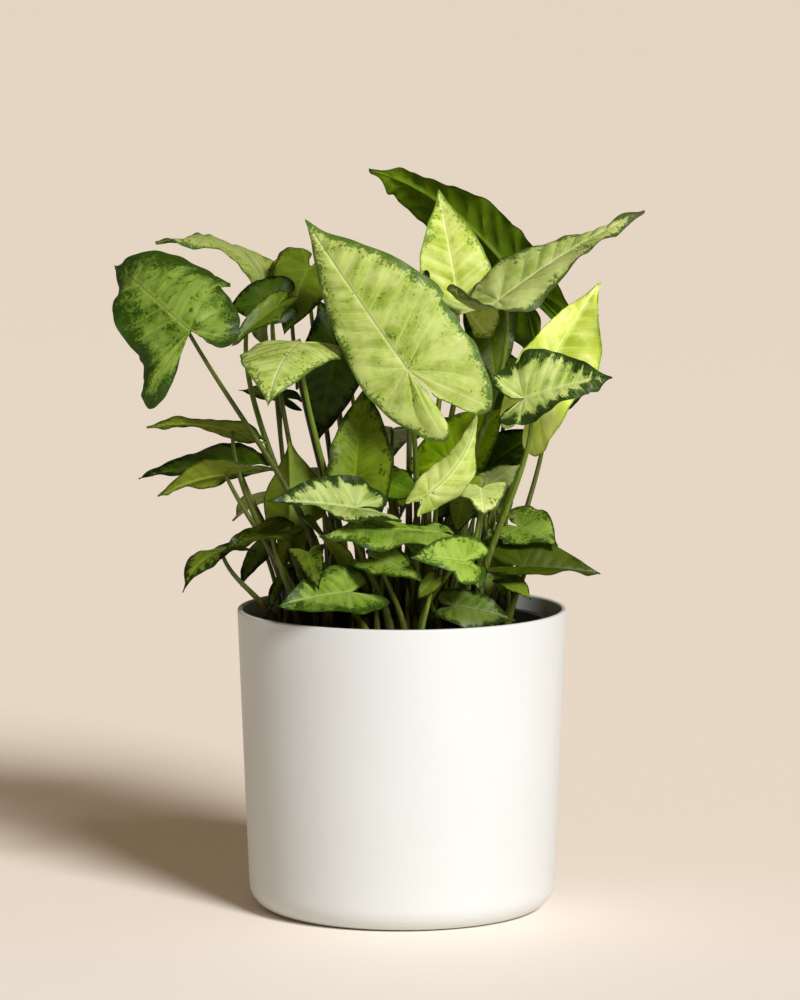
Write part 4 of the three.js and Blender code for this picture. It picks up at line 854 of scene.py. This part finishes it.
stalkSettings = {
    "neckRadius": 1.2, "taper": 0.75, "sheath": 0.35, "sheathTop": 0.4, "start": 153, "buried": 132,
    "handle": 0.35, "grip": 0.05, "sink": 0.5, "steps": 30, "sides": 14, "groove": 0.3,
}


def unit(v):
    return v / np.linalg.norm(v, axis=-1, keepdims=True)


# Turns vectors about a unit axis, an angle for each.
def spin(v, axis, angle):
    c, s = np.cos(angle)[..., None], np.sin(angle)[..., None]
    return v * c + np.cross(axis, v) * s + axis * np.sum(axis * v, -1, keepdims=True) * (1 - c)


# Distance along and aside, and the angle turned, after a way along a circular bend.
def bendOffset(total, length, distance):
    curvature = total / length
    if abs(curvature) < 1e-6:
        return distance, 0 * distance, 0 * distance
    angle = curvature * distance
    return np.sin(angle) / curvature, (1 - np.cos(angle)) / curvature, angle


def bladeFrame(leaf):
    neck, tip = np.array(leaf["neck"], float), np.array(leaf["tip"], float)
    chord = np.linalg.norm(tip - neck)
    forward = (tip - neck) / chord
    face = np.array(leaf["face"], float)
    normal = unit(face - forward * (face @ forward))
    left = np.cross(normal, forward)
    droop, sickle = math.radians(leaf["droop"]), math.radians(leaf["sickle"])
    bend = max(math.hypot(droop, sickle), 1e-3)
    bendWay = left * sickle / bend - normal * droop / bend
    axis = np.cross(forward, bendWay)
    forward, normal, left, bendWay = [
        spin(v, axis, np.array(-bend / 2)) for v in (forward, normal, left, bendWay)]
    return {"neck": neck, "length": chord * (bend / 2) / math.sin(bend / 2), "bend": bend, "axis": axis,
            "forward": forward, "normal": normal, "left": left, "bendWay": bendWay}


# The midrib's place and frame at x midrib lengths ahead of the neck. Behind it each half follows its own
# lobe down.
def midribAt(leaf, frame, x, half):
    length = frame["length"]
    along, aside, angle = bendOffset(frame["bend"], length, np.maximum(x, 0) * length)
    place = frame["neck"] + along[..., None] * frame["forward"] + aside[..., None] * frame["bendWay"]
    ahead, above, out = [spin(frame[v], frame["axis"], angle) for v in ("forward", "normal", "left")]
    along, aside, angle = bendOffset(math.radians(half["back"]), bladeSettings["lobeReach"] * length,
                                     -np.minimum(x, 0) * length)
    place = place - along[..., None] * frame["forward"] - aside[..., None] * frame["normal"]
    behind = (x < 0)[..., None]
    ahead, above, out = [np.where(behind, spin(frame[v], frame["left"], -angle), w)
                         for v, w in zip(("forward", "normal", "left"), (ahead, above, out))]
    turn = math.radians(leaf["twist"]) * x
    return place, spin(above, ahead, turn), spin(out, ahead, turn)


# Lengthens and spreads a lobe: points behind the last side vein turn about the neck.
def lobePoint(half, x, y):
    veinAngle = math.atan2(1, bladeSettings["veinSlope"])
    angle = np.arctan2(y, x)
    share = (angle - veinAngle) / (math.pi - veinAngle)
    heading = veinAngle + (angle - veinAngle) * half["spread"]
    reach = np.hypot(x, y) * (1 + (half["lobe"] - 1) * share)
    inLobe = (angle > veinAngle) & (y > 0)
    full = y * (1 + half["full"] * np.sin(np.pi * np.minimum(x, 1)))
    return np.where(inLobe, reach * np.cos(heading), x), np.where(inLobe, reach * np.sin(heading), full)


def bladePoints(leaf, frame, side, x, y, rim, station):
    half = leaf["left"] if side > 0 else leaf["right"]
    lobeX, lobeY = lobePoint(half, x, y)
    place, above, aside = midribAt(leaf, frame, lobeX, half)
    width = leaf["width"] * half["wide"] * frame["length"]
    along, off, _ = bendOffset(-math.radians(half["cup"]), bladeSettings["halfWidth"] * width, lobeY * width)
    fold = math.radians(half["fold"])
    out, rise = along * math.cos(fold) - off * math.sin(fold), along * math.sin(fold) + off * math.cos(fold)
    phase = 2 * np.pi * (bladeSettings["waves"] * station + bladeSettings["wavePhase"] * side)
    ripple = leaf["wave"] * (frame["length"] / bladeSettings["large"]) * np.sin(phase) * rim * rim
    return place + (side * out)[..., None] * aside + (rise + ripple)[..., None] * above


# The half outline at shares of the way from the tip to the bay between the lobes, on a smooth curve.
def outlineAt(share):
    marks = np.array(bladeSettings["outline"], float)
    last = len(marks) - 1
    step = np.minimum((share * last).astype(int), last - 1)
    t = (share * last - step)[:, None]
    p1, p2 = marks[step], marks[step + 1]
    p0 = np.where((step == 0)[:, None], p1, marks[np.maximum(step - 1, 0)])
    p3 = marks[np.minimum(step + 2, last)]
    v0, v1 = (p2 - p0) / 2, (p3 - p1) / 2
    return (2 * p1 - 2 * p2 + v0 + v1) * t ** 3 + (-3 * p1 + 3 * p2 - 2 * v0 - v1) * t ** 2 + v0 * t + p1


# Unevenness from -1 to 1 at each place in a list, of a size in the list's own unit.
def unevenness(places, size, shift=0.0):
    return np.array([noise.noise(Vector((p[0] / size, p[1] / size, p[2] + shift))) for p in places])


def pointNormals(points, quads):
    normals = np.zeros_like(points)
    a, b, c, d = [points[quads[:, k]] for k in range(4)]
    facing = np.cross(c - a, d - b)
    for k in range(4):
        np.add.at(normals, quads[:, k], facing)
    return unit(normals)


# One blade: the sheet, its relief, then both faces and the edge between them.
def makeBlade(leaf, number):
    s = bladeSettings
    frame = bladeFrame(leaf)
    length = frame["length"]
    stations, rings = next((a, b) for over, a, b in s["detail"] if length > over)
    station = np.linspace(0, 1, stations + 1)
    margin = outlineAt(station)
    root = np.clip(margin[:, 0] - s["veinSlope"] * margin[:, 1], 0, 1)
    neckRow = int(np.argmax(root == 0))
    share = np.linspace(0, 1, rings + 1) ** s["crowding"]
    x = root[:, None] + share * (margin[:, 0] - root)[:, None]
    rim, stationGrid, rootGrid = [
        np.broadcast_to(v, x.shape) for v in (share, station[:, None], root[:, None])]
    veinAngle = math.atan2(1, s["veinSlope"])
    lobeWay = math.atan2(s["lobeTip"][1], s["lobeTip"][0])

    spine = np.minimum(np.arange(stations + 1), neckRow)
    grids, blocks, count = {}, [], neckRow + 1
    # light is how light the leaf is: partly its own tone, partly painted shade and painted glow.
    _, light, leftReach, rightReach, mottle, fieldGreen = leaf["look"]
    veins = s["veins"][0] + s["veins"][1] * min(1, length / s["fullVeins"])
    for side in (1, -1):
        half = leaf["left"] if side > 0 else leaf["right"]
        notch = unevenness([(t, side * 3, number * s["notchSeed"]) for t in station], s["notchSize"])
        y = share * margin[:, 1][:, None] * (1 + s["notch"] * notch[:, None] * share ** 3)
        angle = np.arctan2(y, x)
        lobeTurn = np.clip((angle - veinAngle) / (math.pi - veinAngle), 0, 1)
        apart = np.abs(angle - lobeWay)
        lobeRib = np.where(apart < math.pi / 2, np.hypot(x, y) * np.sin(np.minimum(apart, math.pi / 2)), 9)
        sheet = bladePoints(leaf, frame, side, x, y, rim, stationGrid)
        width = leaf["width"] * half["wide"] * length
        fromRib = np.where(x > 0, y * width, np.hypot(x * length, y * width))
        ribAway = np.minimum(fromRib, lobeRib * length + s["lobeRibOff"])
        edgeAway = (1 - share) * np.hypot((margin[:, 0] - root) * length, margin[:, 1] * width)[:, None]
        seed = np.full(x.shape, number * s["spotSeed"])
        spot = np.stack([x * length * mm, side * y * width * mm, seed], -1)
        stray = unevenness(spot.reshape(-1, 3), s["wanderSize"], 3).reshape(x.shape) * s["wander"] * rim
        places = [(r * s["unevenTurn"], side * 4, number * s["straySeed"]) for r in root]
        stray += unevenness(places, 1)[:, None] * s["uneven"]
        vein = np.where(rootGrid > 0, rootGrid * veins, -lobeTurn * veins * s["lobeVeins"]) + stray
        reach = (leftReach if side > 0 else rightReach) * min(1, length / s["fullReach"]) * mm
        tints = np.broadcast_to((reach, mottle, fieldGreen * min(1, length / s["fullField"])), (*x.shape, 3))
        grid = np.zeros(x.shape, int)
        grid[1:, 1:] = count + np.arange(stations * rings).reshape(stations, rings)
        grid[:, 0] = spine
        grid[0, :] = 0
        grids[side] = grid
        count += stations * rings
        parts = [sheet, rim, ribAway * mm, edgeAway * mm, vein, spot, tints]
        if side > 0:
            blocks = [[p[:neckRow + 1, 0]] for p in parts]
        for block, part in zip(blocks, parts):
            block.append(part[1:, 1:].reshape(-1, *part.shape[2:]))
    points, rimFlat, ribFlat, edgeFlat, veinFlat, spotFlat, paintFlat = [np.concatenate(b) for b in blocks]

    quads = []
    for side, grid in grids.items():
        a, b, c, d = grid[:-1, :-1], grid[:-1, 1:], grid[1:, 1:], grid[1:, :-1]
        order = (a, b, c, d) if side > 0 else (a, d, c, b)
        quads.append(np.stack(order, -1).reshape(-1, 4))
    quads = np.concatenate(quads)

    # Creases along the side veins, slow buckles, and a margin that sways, curls and frills. All fade at the
    # tip.
    normals = pointNormals(points, quads)
    size = length / s["large"]
    ahead = spotFlat[:, 0] / (length * mm)
    tipFade = np.clip((1 - ahead) * s["tipFade"], 0, 1)
    veinBulge = np.abs(np.sin(np.pi * veinFlat)) ** s["quiltSharp"]
    crease = veinBulge * np.sin(np.pi * np.clip(rimFlat, 0, 1)) ** s["quiltBroad"]
    swayPhase = ahead * s["swayTurn"] + np.sign(spotFlat[:, 1]) * s["swaySide"] + number * s["swaySeed"]
    relief = s["buckle"] * size * unevenness(spotFlat, s["buckleSize"]) * np.minimum(1, rimFlat * 1.5)
    relief += s["sway"] * size * np.sin(swayPhase) * rimFlat ** 2
    relief += s["curl"] * size * unevenness(spotFlat, s["curlSize"], 5) * rimFlat ** 5
    relief += s["frill"] * unevenness(spotFlat, s["frillSize"], 7) * rimFlat ** 3
    relief = relief * leaf["ruffle"] + s["quilt"] * size * np.clip(size * 1.1, s["quiltLeast"], 1) * crease
    points = points + normals * (relief * tipFade)[:, None]

    # A fine groove runs along the midrib above, a ridge below, both dying out towards the tip.
    normals = pointNormals(points, quads)
    nearTip = np.clip((1 - ahead) * 1.2, 0.05, 1) * min(1, 0.45 + size * 0.6)
    thickness = s["thickness"] + (s["edgeThickness"] - s["thickness"]) * rimFlat ** 4
    half = thickness / 2 * (s["tipThin"] + (1 - s["tipThin"]) * tipFade)
    groove = s["groove"] * np.exp(-(ribFlat / mm / s["grooveWidth"]) ** 2) * nearTip
    ridge = s["ridge"] * np.exp(-(ribFlat / mm / s["ridgeWidth"]) ** 2) * nearTip * tipFade
    upper = points + normals * (half - groove)[:, None]
    lower = points - normals * (half + ridge)[:, None]
    faces = [list(dict.fromkeys(q)) for q in quads.tolist()]
    total = len(points)
    left, right = grids[1], grids[-1]
    loop = [*left[:-1, -1], *left[-1, ::-1], *right[-1, 1:], *right[-2:0:-1, -1]]
    rimFaces = [[int(k) for k in (b, a, total + a, total + b)] for a, b in zip(loop, loop[1:] + loop[:1])]
    under = [[total + k for k in reversed(f)] for f in faces]
    mesh = bpy.data.meshes.new(leaf["name"])
    mesh.from_pydata(np.concatenate([upper, lower]) * mm, [], faces + rimFaces + under)
    numbers = {"rim": rimFlat, "ribAway": ribFlat, "edgeAway": edgeFlat, "vein": veinFlat}
    vectors = {"spot": spotFlat, "paint": paintFlat}
    # shade carries the leaf's lightness: partly its own tone, partly painted shade and painted glow.
    for name, data in {**numbers, **vectors, "shade": np.full(total, light)}.items():
        kind, field = ("FLOAT_VECTOR", "vector") if name in vectors else ("FLOAT", "value")
        layer = mesh.attributes.new(name, kind, "POINT")
        layer.data.foreach_set(field, np.concatenate([data, data]).astype(np.float32).ravel())
    slots = np.zeros(len(mesh.polygons), np.int32)
    slots[len(faces) + len(rimFaces):] = 1
    mesh.polygons.foreach_set("material_index", slots)
    mesh.shade_smooth()
    mesh.set_sharp_from_angle(angle=math.radians(50))
    return mesh, frame


# Curves as round sticks: each line has its points in millimetres and a radius at each.
def stickCurve(name, lines):
    curve = bpy.data.curves.new(name, "CURVE")
    curve.dimensions = "3D"
    for line, radii in lines:
        spline = curve.splines.new("POLY")
        spline.points.add(len(line) - 1)
        spline.points.foreach_set("co", np.column_stack([line * mm, np.ones(len(line))]).ravel())
        spline.points.foreach_set("radius", radii * mm)
    return newObject(name, curve)


# The stalk's line: straight up out of the soil, then one curve to the underside of the neck.
def stalkPath(leaf, frame):
    s = stalkSettings
    foot = np.array([*leaf["foot"], s["start"]], float)
    place, above, _ = midribAt(leaf, frame, np.array([s["grip"]]), leaf["left"])
    end = place[0] - above[0] * s["sink"]
    rise = place[0] - foot
    handle = s["handle"] * np.linalg.norm(rise)
    arrival = unit(unit(rise) + above[0])
    low = foot + (leaf["lean"][0], leaf["lean"][1], handle)
    high = place[0] - arrival * handle + leaf["arch"]
    t = np.linspace(0, 1, s["steps"] + 1)[:, None]
    line = (1 - t) ** 3 * foot + 3 * (1 - t) ** 2 * t * low + 3 * (1 - t) * t * t * high + t ** 3 * end
    return np.concatenate([[(foot[0], foot[1], s["buried"])], line])


def makeStalk(leaf, frame):
    s = stalkSettings
    line = stalkPath(leaf, frame)
    t = np.linspace(0, 1, s["steps"] + 1)
    radii = leaf["thick"] + (s["neckRadius"] - leaf["thick"]) * t ** s["taper"]
    radii *= 1 + s["sheath"] * np.clip(1 - t / s["sheathTop"], 0, 1) ** 1.5
    return stickCurve(leaf["name"] + "_stalk", [(line, np.concatenate([[radii[0]], radii]))])


# The olive stalk is darker, its own colour with painted shade, for the stalks of darker-toned leaves and the
# shoots inside the clump.
stalkMaterials = {
    "green": stalkMaterial("juicyGreenStalk", "#3e4011", "#5d721e", "#839732"),
    "olive": stalkMaterial("juicyOliveStalk", "#35320e", "#4c5714", "#677324"),
}
leafMaterials = {}
for tone, colours in toneColours.items():
    feather = skinSettings["feather"].get(tone, skinSettings["plainFeather"])
    # crease gives the painted shade in the midrib's groove, on the upper side only.
    midribShades = (skinSettings["crease"].get(tone, skinSettings["plainMidribShade"]), 0)
    leafMaterials[tone] = [
        leafMaterial(tone + side, shades, roughness, glow, crease, feather)
        for side, shades, roughness, glow, crease in zip(
            ("LeafTop", "LeafUnderside"), (colours[:5], colours[5:]), skinSettings["roughness"],
            skinSettings["glow"], midribShades)]
bothParts = leafTree()


def growLeaf(leaf, number):
    bladeMesh, frameHere = makeBlade(leaf, number)
    for material in leafMaterials[leaf["look"][0]]:
        bladeMesh.materials.append(material)
    blade = newObject(leaf["name"] + "_blade", bladeMesh)
    stalk = makeStalk(leaf, frameHere)
    stalkLook = "olive" if leaf["tone"] in ("mid", "olive", "under", "dark", "deep") else "green"
    mesh = runTree(blade, bothParts, {
        "Stalk": stalk, "Sides": stalkSettings["sides"], "Groove": stalkSettings["groove"],
        "Material": stalkMaterials[stalkLook]})
    bpy.data.objects.remove(stalk)
    bpy.data.objects.remove(blade)
    piece = newObject(leaf["name"] + "_grown", mesh)
    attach(piece, "root")
    return piece


grown = []
for number, row in enumerate(leafRows):
    piece = growLeaf(row, number)
    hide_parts(row["name"])
    grown.append(piece)
print("leaves ready:", len(grown))

# Small young leaves and rolled-up shoots fill the middle of the clump. Each is grown where it stays clear
# of the leaves and of the shoots before it, or left out. leaves and shoots are the most there may be.
# Millimetres.
youngSettings = {
    "leaves": 16, "leafTries": 260, "seed": 5, "firstNumber": 80, "middle": (0, 4), "footSpread": 48,
    "neckSpread": 74, "low": 192, "high": 262, "top": 290, "length": (24, 44), "leafGap": 1.0,
    "stalkGap": 2.4, "soilTop": 156, "shoots": 90, "shootTries": 9000, "spread": 60, "tops": (180, 240),
    "lean": 0.22, "foot": 2.2, "waist": 1.3, "spear": 2.1, "point": (0.7, 0.15), "steps": 22, "sides": 12,
    "groove": 0.3, "buried": 8, "shootGap": 0.5, "apart": 3.4, "sweep": 4, "bow": 1.6, "outerDrop": 0.5,
    "tones": ["dark", "olive", "mid", "dark"], "face": (0.1, -0.5, 1), "thick": 1.6, "footStray": 5,
    "swing": 0.8, "slope": (-0.9, 0.7), "droop": (5, 50), "width": (0.8, 1.2), "fold": (0, 35),
}


def surfaceOf(pieces):
    corners, polygons = [], []
    for piece in pieces:
        base = len(corners)
        corners += [v.co.copy() for v in piece.data.vertices]
        polygons += [[base + k for k in p.vertices] for p in piece.data.polygons]
    return BVHTree.FromPolygons(corners, polygons)


# True where every point stays at least a gap, in mm, off the surface. Points low down in the soil don't
# count.
def staysClear(points, surface, gaps):
    return all(p[2] < youngSettings["soilTop"] or surface.find_nearest(Vector(p * mm))[3] > gap * mm
               for p, gap in zip(points, gaps))


def youngRow(draw, s, number):
    angle, away = draw.uniform(0, math.tau), math.sqrt(draw.random())
    heading = np.array([math.cos(angle), math.sin(angle)])
    neck = heading * away * s["neckSpread"] + s["middle"]
    foot = heading * away * s["footSpread"] + s["middle"] + draw.normal(0, s["footStray"], 2)
    height = draw.uniform(s["low"], s["high"])
    length = draw.uniform(*s["length"])
    swing = angle + draw.normal(0, s["swing"])
    slope = draw.uniform(*s["slope"])
    tip = neck + length * math.cos(slope) * np.array([math.cos(swing), math.sin(swing)])
    return leafRow(
        "young_leaf_%02d" % number, str(draw.choice(s["tones"])), (*neck, height),
        (*tip, height + length * math.sin(slope)), s["face"], tuple(foot), droop=draw.uniform(*s["droop"]),
        width=draw.uniform(*s["width"]), thick=s["thick"], left=dict(fold=draw.uniform(*s["fold"])),
        right=dict(fold=draw.uniform(*s["fold"])))


draw = np.random.default_rng(youngSettings["seed"])
surface = surfaceOf(grown)
young = 0
for _ in range(youngSettings["leafTries"]):
    row = youngRow(draw, youngSettings, young)
    number = youngSettings["firstNumber"] + young
    stalkLine = stalkPath(row, bladeFrame(row))
    if not staysClear(stalkLine[2:-2], surface, [youngSettings["stalkGap"]] * len(stalkLine)):
        continue
    mesh, _ = makeBlade(row, number)
    points = np.array([v.co for v in mesh.vertices]) / mm
    bpy.data.meshes.remove(mesh)
    tooHigh = points[:, 2].max() > youngSettings["top"]
    if tooHigh or not staysClear(points, surface, [youngSettings["leafGap"]] * len(points)):
        continue
    grown.append(growLeaf(row, number))
    surface = surfaceOf(grown)
    young += 1
    if young == youngSettings["leaves"]:
        break
print("young leaves ready:", young)


def shootLines(draw, s, surface):
    along = np.linspace(0, 1, s["steps"] + 1)
    radii = np.interp(along, (0, 0.35, 0.6, 0.8, 0.95, 1),
                      (s["foot"] * 1.25, s["foot"], s["waist"], s["spear"], *s["point"]))
    kept = []
    for _ in range(s["shootTries"]):
        angle, away, height = draw.uniform(0, math.tau), math.sqrt(draw.random()), draw.random()
        outward = np.array([math.cos(angle), math.sin(angle), 0])
        foot = np.array([*s["middle"], 0]) + s["spread"] * away * outward
        low, high = s["tops"]
        rise = low + (high - low) * height * (1 - s["outerDrop"] * away) - stalkSettings["start"]
        sweep = np.array([*draw.normal(0, s["sweep"], 2), 0])
        line = foot + (outward * rise * s["lean"] * away + sweep) * along[:, None] ** s["bow"]
        line[:, 2] = stalkSettings["start"] - s["buried"] + (rise + s["buried"]) * along
        apart = all(np.min(np.linalg.norm(line - other, axis=1)) > s["apart"] for other, _ in kept)
        if apart and staysClear(line, surface, radii + s["shootGap"]):
            kept.append((line, radii))
        if len(kept) == s["shoots"]:
            break
    return kept


lines = shootLines(draw, youngSettings, surface)
shootCurve = stickCurve("shootCurve", lines)
nothing = newObject("nothing", bpy.data.meshes.new("nothing"))
shootMesh = runTree(nothing, bothParts, {
    "Stalk": shootCurve, "Sides": youngSettings["sides"], "Groove": youngSettings["groove"],
    "Material": stalkMaterials["olive"]})
bpy.data.objects.remove(shootCurve)
bpy.data.objects.remove(nothing)
shoots = newObject("young_shoots", shootMesh)
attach(shoots, "root")
print("young shoots ready:", len(lines))
